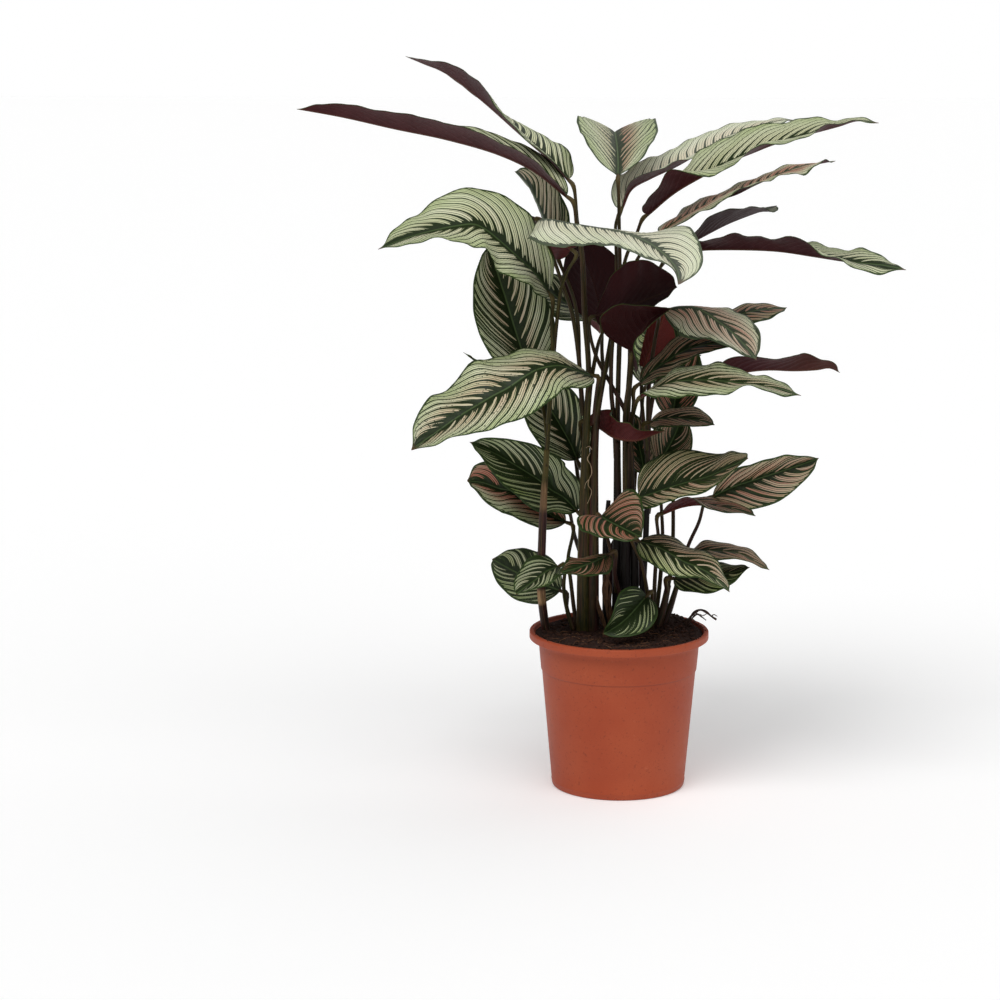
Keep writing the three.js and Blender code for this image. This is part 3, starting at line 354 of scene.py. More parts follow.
         stalk=[(92, 315, 22), (80, 287, 25), (70, 248, 27), (60, 212, 28), (48, 176, 22),
                (43, 152, 18)]),
    dict(shoot="right", width=58, left=[-80, -76, -72, -68, -68], right=[104, 106, 102, 84, 74, 68],
         rib=[(52, 326, 2), (70, 333, -6), (90, 336, -16), (110, 334, -26), (132, 331, -36),
              (158, 323, -48)],
         stalk=[(45, 296, 12), (42, 258, 20), (41, 215, 20), (42, 180, 18)]),
    dict(shoot="right", width=68, left=[-52, -56, -52, -54, -60], right=[48, 46, 54, 58, 64],
         rib=[(23, 292, -30), (45, 285, -42), (60, 277, -52), (75, 268, -60), (90, 262, -70),
              (105, 254, -80), (120, 242, -90), (129, 232, -98)],
         stalk=[(26, 265, -6), (33, 230, 8), (39, 190, 16), (41, 160, 17)]),
    dict(shoot="right", width=52, left=[-62, -66, -66, -70], right=[64, 68, 68, 72],
         rib=[(80, 276, 14), (97, 281, 2), (115, 281, -8), (140, 278, -18), (155, 270, -26),
              (175, 259, -36)],
         stalk=[(70, 256, 30), (64, 226, 28)]),
    dict(shoot="right", width=54, left=[-50, -52, -56, -60], right=[50, 46, 46, 56],
         rib=[(64, 248, 8), (85, 249, 0), (106, 250, -6), (130, 255, -14), (152, 262, -22)],
         stalk=[(56, 232, 21)]),
    dict(shoot="centre", width=56, left=[-152, -150, -150], right=[-152, -150, -150],
         rib=[(6, 226, 42), (6, 246, 40), (7, 266, 38), (8, 288, 38), (9, 312, 40)],
         stalk=[(5, 196, 32), (4, 170, 24)]),
    dict(shoot="main", width=88, level=True, left=[20, 18, 16, 16], right=[20, 18, 16, 16],
         rib=[(-8, 545, 112), (-10, 560, 150), (-14, 568, 200), (-18, 568, 250), (-22, 556, 300),
              (-25, 536, 340)],
         stalk=[(-13, 510, 60), (-19, 485, 24), (-25, 450, 14), (-29, 420, 13)]),
    dict(shoot="centre", width=84, level=True, left=[24, 22, 20, 20], right=[24, 22, 20, 20],
         rib=[(30, 475, 104), (42, 490, 140), (54, 499, 190), (62, 497, 245), (68, 486, 300)],
         stalk=[(24, 440, 84), (20, 410, 76), (18, 380, 66), (16, 350, 46), (13, 315, 20)]),
    dict(shoot="main", width=64, left=[24, 30, 60, 96, 104], right=[22, 30, 60, 94, 102],
         rib=[(-68, 480, 104), (-92, 492, 134), (-118, 499, 166), (-146, 500, 196),
              (-166, 504, 216), (-182, 513, 232)],
         stalk=[(-57, 440, 98), (-53, 400, 94), (-47, 350, 60), (-41, 290, 14)]),
    dict(shoot="main", width=76, level=True, left=[24, 22, 20, 20], right=[24, 22, 20, 20],
         rib=[(-62, 330, 116), (-74, 344, 150), (-86, 352, 196), (-94, 350, 244),
              (-100, 338, 290)],
         stalk=[(-52, 296, 60), (-40, 262, 14)]),
    dict(shoot="right", width=76, level=True, left=[24, 22, 20, 20], right=[24, 22, 20, 20],
         rib=[(50, 350, 94), (58, 364, 130), (66, 372, 176), (72, 368, 224), (78, 354, 268)],
         stalk=[(50, 300, 58), (48, 250, 36), (43, 200, 20)]),
]

# Finish of a blade. A pair holds the left half's value and the right half's.
# pale: share of the upper face that the light stripes take. pink: how pink
# they are by the rib. reach: how far across the half the pink goes. green:
# how green the light stripes are. dim: how far painted shade darkens them
# towards dark green. band: the dark band on each side of the rib, mm. margin:
# the dark margin, mm. spots: how dark the small spots are. shine: how much a
# painted sheen lightens the whole upper face. red: how red the underside is,
# partly its own red and partly a painted glow of light shining through the
# blade. tan, dark: how tan or dark the underside is. fold: how far each half
# bends back from rib to margin, degrees. wave: height of the waves along the
# margin, mm. base, tip: how slowly the outline opens and closes. share: part
# of the full half width that the half takes. sweep: how far forward the side
# veins run. calm: part of the rib's length, each way, over which its direction
# is averaged.
USUAL = dict(
    pale=0.55, pink=0.25, reach=0.6, green=0.35, painted_shade=0.0, band=5.0, margin=2.2, spots=0.0,
    painted_sheen=0.0, red=0.3, tan=0.0, dark=0.0, fold=24, wave=1.6, base=BASE_ROUNDNESS,
    tip=TIP_SHARPNESS, share=1.0, sweep=1.0, calm=0.03)

# What differs from the usual finish, by the number of the leaf.
FINISH = {
    1: dict(pale=0.7, pink=0.2, dark=0.15, red=0.15, wave=0.9),
    2: dict(pale=0.75, pink=0.1, band=3.0, dark=0.1, red=0.15, wave=0.9),
    3: dict(pale=0.65, pink=0.4, reach=1.2, green=0.15, painted_shade=0.15),
    4: dict(pale=0.95, pink=0.12, green=0.4, band=5.5, margin=1.4, wave=2.6, calm=0.14),
    5: dict(pale=1.5, pink=0.15, green=0.1, band=4.5, margin=(2.6, 5.0), painted_sheen=0.28, red=0.12,
            tip=(0.45, 0.8)),
    6: dict(pale=0.7, dark=0.3),
    7: dict(dark=0.95, red=0.1),
    8: dict(dark=0.7, red=0.08, share=(0.45, 1.0), wave=2.4),
    9: dict(dark=0.75, red=0.12, green=0.8, fold=4, wave=0.4),
    10: dict(red=0.7),
    11: dict(pale=0.35, pink=0.1, dark=0.4, painted_shade=0.4),
    12: dict(pale=0.6, pink=0.4, green=0.3, band=7.0, painted_shade=0.15),
    13: dict(pale=0.8, pink=(0.25, 0.75), green=0.45, band=6.5, painted_sheen=0.12),
    14: dict(pale=1.5, pink=0.3, reach=0.5, green=0.15, band=1.5, margin=1.6, painted_sheen=0.3),
    15: dict(pale=1.1, pink=0.12, green=0.4, band=2.5, margin=2.0, red=0.1, dark=0.2, wave=2.0),
    16: dict(pale=1.1, pink=0.75, reach=0.8, green=0.15, band=1.8, red=0.1, dark=0.2, wave=2.0),
    17: dict(pale=0.7, pink=0.2, red=0.08, dark=0.85),
    18: dict(pale=0.95, pink=0.1, green=0.4, red=0.05, dark=0.3, wave=2.4),
    19: dict(pale=0.85, pink=0.4, reach=0.7, band=6.0, margin=1.8, spots=1.0, base=(0.5, 0.75),
             tip=(0.5, 0.7)),
    20: dict(pink=0.4, green=0.4, painted_shade=0.2, band=6.5),
    21: dict(pale=0.42, pink=0.2, reach=0.5, green=(0.8, 0.5), band=5.5, painted_shade=0.38),
    22: dict(pale=0.8, pink=(0.85, 1.0), reach=(0.7, 1.2), green=(0.45, 0.2), margin=3.0,
             tip=(0.7, 0.5)),
    23: dict(pale=0.4, pink=0.12, green=0.6, margin=3.0, painted_shade=0.28, tip=(0.8, 0.5)),
    24: dict(pale=0.35, pink=0.15, green=0.5, band=3.5, margin=2.6, painted_shade=0.3),
    25: dict(pale=0.25, pink=0.95, reach=1.4, green=0.2, band=3.0, margin=3.0, wave=2.6, painted_shade=0.15),
    26: dict(pink=0.95, reach=1.4, green=0.0, band=4.5, margin=3.4, painted_shade=0.25),
    27: dict(pale=0.05, pink=0.05, green=0.6, band=9.0, margin=3.4, painted_shade=0.22),
    28: dict(pale=1.1, pink=0.7, reach=0.8, green=0.0, band=3.6, margin=4.0, fold=16, painted_sheen=0.14,
             sweep=1.4),
    29: dict(pale=0.85, pink=0.7, reach=1.2, green=0.6, band=2.0, sweep=1.5),
    30: dict(pale=0.6, pink=0.4, red=0.1, tan=0.12, dark=0.2),
    31: dict(pale=0.6, pink=0.75, reach=1.2, green=0.1, band=3.0, painted_shade=0.2, sweep=1.9,
             base=(0.8, 0.5)),
    32: dict(pale=0.7, pink=0.45, green=0.4, band=2.5, wave=2.2, painted_shade=0.08, sweep=2.0),
    33: dict(pale=0.35, pink=0.95, reach=1.5, green=0.0, band=6.0, painted_shade=0.35),
    34: dict(pale=0.7, pink=0.65, reach=1.4, green=0.2, band=2.5, sweep=1.5),
    35: dict(pale=0.4, dark=0.3, wave=3.2),
    36: dict(pale=0.45, pink=0.7, reach=1.4, green=0.1, painted_shade=0.4),
    37: dict(pale=0.4, pink=0.8, reach=1.4, green=0.1, painted_shade=0.4),
    38: dict(pale=0.45, pink=(0.5, 0.6), reach=1.3, green=(0.5, 0.3), painted_shade=0.1, wave=0.8,
             base=(0.3, 0.4), tip=(0.6, 0.8)),
    39: dict(pale=0.65, pink=0.7, reach=1.3, green=0.2, band=4.5, painted_shade=0.1),
    40: dict(pale=0.5, pink=0.85, reach=1.4, green=0.2, band=2.5, sweep=1.6),
    41: dict(pale=0.5, pink=(0.55, 0.15), reach=1.2, green=(0.3, 0.7), band=3.5),
    42: dict(pale=0.7, pink=0.65, reach=1.6, green=0.1, tan=0.15, band=2.0, painted_shade=0.15, sweep=1.6),
    43: dict(pale=0.4, pink=0.3, green=0.9, band=3.0, painted_shade=0.3),
    44: dict(dark=0.8, red=0.1),
    47: dict(pale=0.5, dark=0.6, red=0.1, tip=1.5),
}


# Smooth curve through points, read at a share of its length.
class Curve:
    def __init__(self, points):
        self.points = np.array(points, float)
        self.places = np.linspace(0, 1, 201)
        steps = np.linalg.norm(np.diff(self.at_place(self.places), axis=0), axis=1)
        self.lengths = np.concatenate([[0], np.cumsum(steps)])
        self.total = float(self.lengths[-1])

    def at_place(self, places):
        points = self.points
        last = len(points) - 1
        first_extra = 2 * points[0] - points[1]
        last_extra = 2 * points[last] - points[last - 1]
        padded = np.vstack([first_extra, points, last_extra])
        place = np.asarray(places) * last
        i = np.minimum(np.floor(place).astype(int), last - 1)
        w = (place - i)[:, None]
        p0, p1, p2, p3 = padded[i], padded[i + 1], padded[i + 2], padded[i + 3]
        d0, d1, d2 = (np.sum((b - a) ** 2, axis=1)[:, None] ** 0.25
                      for a, b in ((p0, p1), (p1, p2), (p2, p3)))
        t1 = ((p1 - p0) / d0 - (p2 - p0) / (d0 + d1) + (p2 - p1) / d1) * d1
        t2 = ((p2 - p1) / d1 - (p3 - p1) / (d1 + d2) + (p3 - p2) / d2) * d1
        c2 = -3 * p1 + 3 * p2 - 2 * t1 - t2
        c3 = 2 * p1 - 2 * p2 + t1 + t2
        return p1 + t1 * w + c2 * w ** 2 + c3 * w ** 3

    def point(self, share):
        length = np.clip(np.atleast_1d(share), 0, 1) * self.total
        return self.at_place(np.interp(length, self.lengths, self.places))

    def tangent(self, share, reach=0.02):
        share = np.atleast_1d(share)
        return unit(self.point(share + reach) - self.point(share - reach))


def unit(vectors):
    return vectors / np.linalg.norm(vectors, axis=-1, keepdims=True)


# From 0 at the low value to 1 at the high value, with no corner.
def smooth(low, high, value):
    t = np.clip((value - low) / (high - low), 0, 1)
    return t * t * (3 - 2 * t)


# From 0 up to 1 between two values, and down to 0 between two more.
def within(low, full, still_full, high, value):
    return smooth(low, full, value) * (1 - smooth(still_full, high, value))


# Values at shares s, from 0 to 1, of a smooth line through values at even steps.
def along(values, s):
    values = np.array(values, float)
    padded = np.concatenate([[2 * values[0] - values[1]], values, [2 * values[-1] - values[-2]]])
    place = np.clip(s, 0, 1) * (len(values) - 1)
    i = np.minimum(np.floor(place).astype(int), len(values) - 2)
    w = place - i
    p0, p1, p2, p3 = padded[i], padded[i + 1], padded[i + 2], padded[i + 3]
    return 0.5 * (2 * p1 + (p2 - p0) * w + (2 * p0 - 5 * p1 + 4 * p2 - p3) * w ** 2
                  + (3 * p1 - p0 - 3 * p2 + p3) * w ** 3)


# Half of the blade's breadth at s, as a share of half its full width.
def outline(s, base=BASE_ROUNDNESS, tip=TIP_SHARPNESS):
    rise = (s / WIDEST) ** base
    fall = ((1 - s) / (1 - WIDEST)) ** tip
    return rise * fall * (0.3 + 0.7 * smooth(0, 0.08, 1 - s) ** 0.7)


def add_object(name, data):
    thing = bpy.data.objects.new(name, data)
    bpy.context.scene.collection.objects.link(thing)
    return thing


def add_mesh(name, points, faces, materials, face_material=None, attributes=None):
    mesh = bpy.data.meshes.new(name)
    inside = np.clip(np.array(points, float) * MM, cad_low, cad_high)
    mesh.from_pydata(inside.tolist(), [], faces)
    for material in materials:
        mesh.materials.append(material)
    if face_material is not None:
        mesh.polygons.foreach_set("material_index", np.array(face_material, np.int32))
    for key, values in (attributes or {}).items():
        layer = mesh.attributes.new(key, "FLOAT_VECTOR", "POINT")
        layer.data.foreach_set("vector", np.array(values, np.float32).ravel())
    mesh.shade_smooth()
    mesh.update()
    return add_object(name, mesh)


# A number or colour that a material works out. Each sum with it is a new node.
class Value:
    def __init__(self, nodes, socket):
        self.nodes = nodes
        self.socket = socket

    def __add__(self, other):
        return self.nodes.math("ADD", self, other)

    def __radd__(self, other):
        return self.nodes.math("ADD", other, self)

    def __sub__(self, other):
        return self.nodes.math("SUBTRACT", self, other)

    def __rsub__(self, other):
        return self.nodes.math("SUBTRACT", other, self)

    def __mul__(self, other):
        return self.nodes.math("MULTIPLY", self, other)

    def __truediv__(self, other):
        return self.nodes.math("DIVIDE", self, other)

    def __abs__(self):
        return self.nodes.math("ABSOLUTE", self)


# The nodes of one material, with its surface.
class Nodes:
    def __init__(self, name):
        self.material = bpy.data.materials.new(name)
        self.material.use_nodes = True
        self.tree = self.material.node_tree
        self.tree.nodes.clear()
        self.surface = self.add("ShaderNodeBsdfPrincipled")
        output = self.add("ShaderNodeOutputMaterial")
        self.tree.links.new(self.surface.outputs["BSDF"], output.inputs["Surface"])

    def add(self, kind, **settings):
        node = self.tree.nodes.new(kind)
        for key, value in settings.items():
            setattr(node, key, value)
        return node

    # Fill a node's inputs, by index or name, and give its outputs.
    def fill(self, node, inputs):
        for key, value in inputs.items():
            if isinstance(value, Value):
                self.tree.links.new(value.socket, node.inputs[key])
            else:
                node.inputs[key].default_value = value
        return [Value(self, socket) for socket in node.outputs]

    def set(self, name, value):
        self.fill(self.surface, {name: value})

    def math(self, operation, *values):
        node = self.add("ShaderNodeMath", operation=operation)
        return self.fill(node, dict(enumerate(values)))[0]

    def lesser(self, a, b):
        return self.math("MINIMUM", a, b)

    def greater(self, a, b):
        return self.math("GREATER_THAN", a, b)

    def clamp(self, value):
        return self.lesser(self.math("MAXIMUM", value, 0.0), 1.0)

    def smooth(self, low, high, value):
        node = self.add("ShaderNodeMapRange", interpolation_type="SMOOTHSTEP")
        return self.fill(node, {"Value": value, "From Min": low, "From Max": high})[0]

    def mix(self, share, a, b):
        node = self.add("ShaderNodeMix", data_type="RGBA")
        return self.fill(node, {0: share, 6: a, 7: b})[2]

    def vector(self, x, y, z):
        return self.fill(self.add("ShaderNodeCombineXYZ"), {0: x, 1: y, 2: z})[0]

    def split(self, vector):
        return self.fill(self.add("ShaderNodeSeparateXYZ"), {0: vector})

    def parts(self, name):
        read = self.fill(self.add("ShaderNodeAttribute", attribute_name=name), {})
        return self.split(read[1])

    # The place in the part's frame, mm.
    def place(self):
        position = self.fill(self.add("ShaderNodeNewGeometry"), {})[0]
        node = self.add("ShaderNodeVectorMath", operation="SCALE")
        return self.fill(node, {0: position, "Scale": 1 / MM})[0]

    def noise(self, vector, scale, detail=2.0, rough=0.5):
        node = self.add("ShaderNodeTexNoise")
        settings = {"Scale": scale, "Detail": detail, "Roughness": rough}
        return self.fill(node, {"Vector": vector, **settings})[0]

    # A chance from 0 to 1, the same wherever the three numbers are the same.
    def draw(self, x, y, z):
        node = self.add("ShaderNodeTexWhiteNoise", noise_dimensions="3D")
        return self.fill(node, {"Vector": self.vector(x, y, z)})[0]

    def bump(self, height, strength, distance):
        node = self.add("ShaderNodeBump")
        inputs = {"Strength": strength, "Distance": distance * MM, "Height": height}
        self.set("Normal", self.fill(node, inputs)[0])


# A colour given as the screen shows it, 0 to 255.
def rgb(*shown):
    shares = [value / 255 for value in shown]
    linear = [x / 12.92 if x <= 0.04045 else ((x + 0.055) / 1.055) ** 2.4 for x in shares]
    return (*linear, 1.0)


DARK_GREEN = rgb(24, 34, 13)
MID_GREEN = rgb(58, 82, 30)
RIB_GREEN = rgb(88, 110, 64)
# PAINTED_SHEEN is painted light: the whitish sheen of light off the glossy upper face.
PAINTED_SHEEN = rgb(232, 236, 222)
PALE_CREAM = rgb(226, 227, 198)
PALE_GREEN = rgb(166, 186, 112)
PALE_PINK = rgb(208, 162, 136)
STRONG_PINK = rgb(184, 116, 98)
DRY_BROWN = rgb(120, 84, 48)
TIP_BROWN = rgb(84, 58, 36)
PURPLE = rgb(46, 15, 20)
PURPLE_LIGHT = rgb(74, 36, 41)
PURPLE_DEEP = rgb(17, 5, 8)
# RED_GLOW: red partly of the underside itself and partly a painted glow of light shining through a
# thin blade.
RED_GLOW = rgb(152, 60, 46)
UNDER_RIB = rgb(92, 68, 48)


# Upper face. Coordinates from the mesh: s along the rib, v across from -1 to 1,
# the half width there in mm; vein, which rises by one from each main side vein
# to the next; the blade's length in mm and its own number.
def upper_face():
    n = Nodes("leaf_upper")
    s, v, half = n.parts("place")
    vein, length, number = n.parts("vein")
    pale, pink, green = n.parts("tone")
    band, margin, reach = n.parts("edge")
    painted_shade, spots, painted_sheen = n.parts("more")
    side = n.greater(v, 0.0)
    across = abs(v)
    from_rib = across * half
    from_edge = half - from_rib
    flat = n.vector(s * length, v * half, number * 37.0)
    wander = n.noise(flat, 0.035, 2.0) - 0.5
    flow = vein + wander * 0.35
    cell = n.math("FLOOR", flow)
    inside = n.math("FRACT", flow)
    key = side * 61.0 + number
    chance = n.draw(cell, key, 1.0)
    chance_two = n.draw(cell, key, 2.0)

    # Dark main veins, wider by the rib, and two thinner lines between each pair.
    to_vein = n.lesser(inside, 1.0 - inside)
    by_rib = 1.0 - n.smooth(0.0, 0.55, across)
    narrow = 1.6 - pale * 0.75
    half_vein = narrow * (0.145 + by_rib * 0.16)
    half_vein = half_vein * (0.7 + chance_two * 0.6)
    main = n.smooth(half_vein * 0.7, half_vein * 1.15, to_vein)
    first = 0.33 + (chance - 0.5) * 0.1
    second = 0.66 + (chance_two - 0.5) * 0.1
    half_line = narrow * (0.044 + by_rib * 0.01)
    line = n.lesser(abs(inside - first), abs(inside - second))
    thin = n.smooth(half_line * 0.5, half_line * 1.3, line)
    thin_depth = 0.72 + n.draw(cell, key, 3.0) * 0.28
    thin = 1.0 - thin_depth * (1.0 - thin)

    # Each light stripe ends in a point of its own, by the rib and by the margin.
    third = inside * 3.0
    strand = n.math("FLOOR", third)
    lean = abs(n.math("FRACT", third) - 0.5)
    blunt = lean * lean * 12.0
    stripe = cell * 3.0 + strand
    strand_chance = n.draw(stripe, key, 4.0)
    start = band * (0.45 + strand_chance * 1.0)
    start = start + blunt * (0.5 + band * 0.16)
    opens = n.smooth(start - 0.7, start + 0.7, from_rib)
    stop = margin * (0.55 + n.draw(stripe, key, 5.0) * 0.8)
    stop = stop + blunt * 0.35
    closes = n.smooth(stop - 0.8, stop + 0.8, from_edge)
    missing = n.greater(n.draw(stripe, key, 6.0), 1.12 - (1.0 - pale) * 0.55)
    kept = 1.0 - missing * 0.8
    light = main * thin * (opens * closes) * kept

    # Fine hairlines along the side veins.
    hair = n.math("SINE", flow * 37.7)
    hair_share = (hair + 1.0) * 0.5
    speckle = n.noise(flat, 0.9, 3.0)

    # Light stripes: cream, green towards the margin, pink by the rib; dim darkens
    # them with painted shade and shine whitens them with a painted sheen.
    to_green = green * 0.75 + n.smooth(0.55, 1.0, across) * 0.3
    to_green = to_green + (chance - 0.5) * 0.35
    ground = n.mix(n.clamp(to_green), PALE_CREAM, PALE_GREEN)
    fade = 1.0 - n.smooth(0.3, 1.15, across / (reach + 0.05))
    blush = pink * (fade * (0.75 + strand_chance * 0.7))
    blush = n.lesser(blush * (0.8 + speckle * 0.5), 1.0)
    pink_tone = n.mix(n.smooth(0.3, 1.0, pink), PALE_PINK, STRONG_PINK)
    ground = n.mix(blush, ground, pink_tone)
    ground = n.mix(hair_share * 0.07, ground, MID_GREEN)
    # Painted shade: dim darkens the light stripes towards dark green.
    ground = n.mix(painted_shade * 0.6, ground, DARK_GREEN)
    # Painted sheen: shine whitens the light stripes as light off the gloss would.
    ground = n.mix(painted_sheen * 0.5, ground, PAINTED_SHEEN)

    # Dark green: lighter by the margin and along the rib.
    deep = n.mix(n.smooth(0.35, 0.75, speckle) * 0.35, DARK_GREEN, MID_GREEN)
    at_margin = 1.0 - n.smooth(0.6, 3.4, from_edge)
    deep = n.mix(at_margin * 0.55, deep, MID_GREEN)
    on_rib = 1.0 - n.smooth(0.5, 1.7, from_rib)
    deep = n.mix(on_rib * 0.55, deep, RIB_GREEN)

    # Half tones of green border each light stripe.
    edge_tone = n.mix(n.smooth(0.0, 0.55, light), deep, MID_GREEN)
    colour = n.mix(n.smooth(0.3, 0.9, light), edge_tone, ground)
    spot = n.smooth(0.66, 0.69, n.noise(flat, 0.34, 1.0))
    colour = n.mix(spot * spots * 0.85, colour, DARK_GREEN)
    tan = n.parts("under")[1]
    tip = n.smooth(0.965, 0.995, s) * 0.9
    colour = n.mix(tip, colour, TIP_BROWN)
    colour = n.mix(tan * n.smooth(0.35, 0.9, s), colour, DRY_BROWN)
    # Painted sheen: shine whitens the whole upper face a little more.
    colour = n.mix(painted_sheen * 0.3, colour, PAINTED_SHEEN)
    n.set("Base Color", colour)
    n.set("Roughness", 0.46 + (speckle - 0.5) * 0.25)
    n.set("Specular IOR Level", 0.22)
    relief = n.smooth(0.0, 0.3, to_vein) * 0.7 + hair_share * 0.08
    relief = relief + n.noise(flat, 0.35, 2.0) * 0.25
    n.bump(relief, 0.4, 0.35)
    return n.material


# Underside: purple, satin, with paler raised veins, a light rib, and red that
# is partly its own and partly a painted glow of light through the blade.
def lower_face():
    n = Nodes("leaf_lower")
    s, v, half = n.parts("place")
    vein, length, number = n.parts("vein")
    dark, tan, red = n.parts("under")
    across = abs(v)
    from_rib = across * half
    from_edge = half - from_rib
    flat = n.vector(s * length, v * half, number * 37.0)
    speckle = n.noise(flat, 0.3, 2.0)
    cloud = n.noise(flat, 0.04, 2.0)
    inside = n.math("FRACT", vein)
    to_vein = n.lesser(inside, 1.0 - inside)
    on_vein = 1.0 - n.smooth(0.03, 0.1, to_vein)
    fine = n.math("SINE", vein * 31.4)
    fine_share = (fine + 1.0) * 0.5
    colour = n.mix(n.smooth(0.3, 0.7, cloud), PURPLE, n.mix(0.5, PURPLE, PURPLE_LIGHT))
    colour = n.mix(fine_share * 0.22, colour, PURPLE_LIGHT)
    colour = n.mix(on_vein * 0.3, colour, PURPLE_LIGHT)
    colour = n.mix(n.smooth(0.4, 0.7, speckle) * 0.2, colour, PURPLE_DEEP)
    on_rib = 1.0 - n.smooth(0.6, 2.2, from_rib)
    colour = n.mix(on_rib * 0.65, colour, UNDER_RIB)
    colour = n.mix(dark, colour, PURPLE_DEEP)
    # Red of the underside, partly its own and partly a painted glow of light shining through the
    # blade.
    colour = n.mix(red * 0.85, colour, n.mix(fine_share, RED_GLOW, PURPLE))
    at_margin = 1.0 - n.smooth(0.2, 1.1, from_edge)
    colour = n.mix(at_margin * 0.7, colour, MID_GREEN)
    colour = n.mix(tan * n.smooth(0.35, 0.9, s), colour, DRY_BROWN)
    n.set("Base Color", colour)
    n.set("Roughness", 0.42 + speckle * 0.2)
    n.set("Specular IOR Level", 0.1)
    relief = on_vein * 0.8 + fine_share * 0.25
    n.bump(relief + speckle * 0.12, 0.45, 0.35)
    return n.material


UPPER = upper_face()
LOWER = lower_face()


def sides(value):
    return value if isinstance(value, tuple) else (value, value)


# Faces of a thin sheet: an upper and a lower grid of points, the lower grid's
# numbers after the upper grid's, and a border that joins them.
def sheet_faces(rows, columns):
    count = rows * columns
    faces = []
    for i in range(rows - 1):
        first = i * columns
        last = first + columns - 1
        for a in range(first, last):
            b, c, d = a + 1, a + 1 + columns, a + columns
            faces.append((a, b, c, d))
            faces.append((a + count, d + count, c + count, b + count))
        d = first + columns
        faces.append((first, d, d + count, first + count))
        d = last + columns
        faces.append((d, last, last + count, d + count))
    for a in range(columns - 1):
        faces.append((a + 1, a, a + count, a + 1 + count))
    for a in range(count - columns, count - 1):
        faces.append((a, a + 1, a + 1 + count, a + count))
    return faces


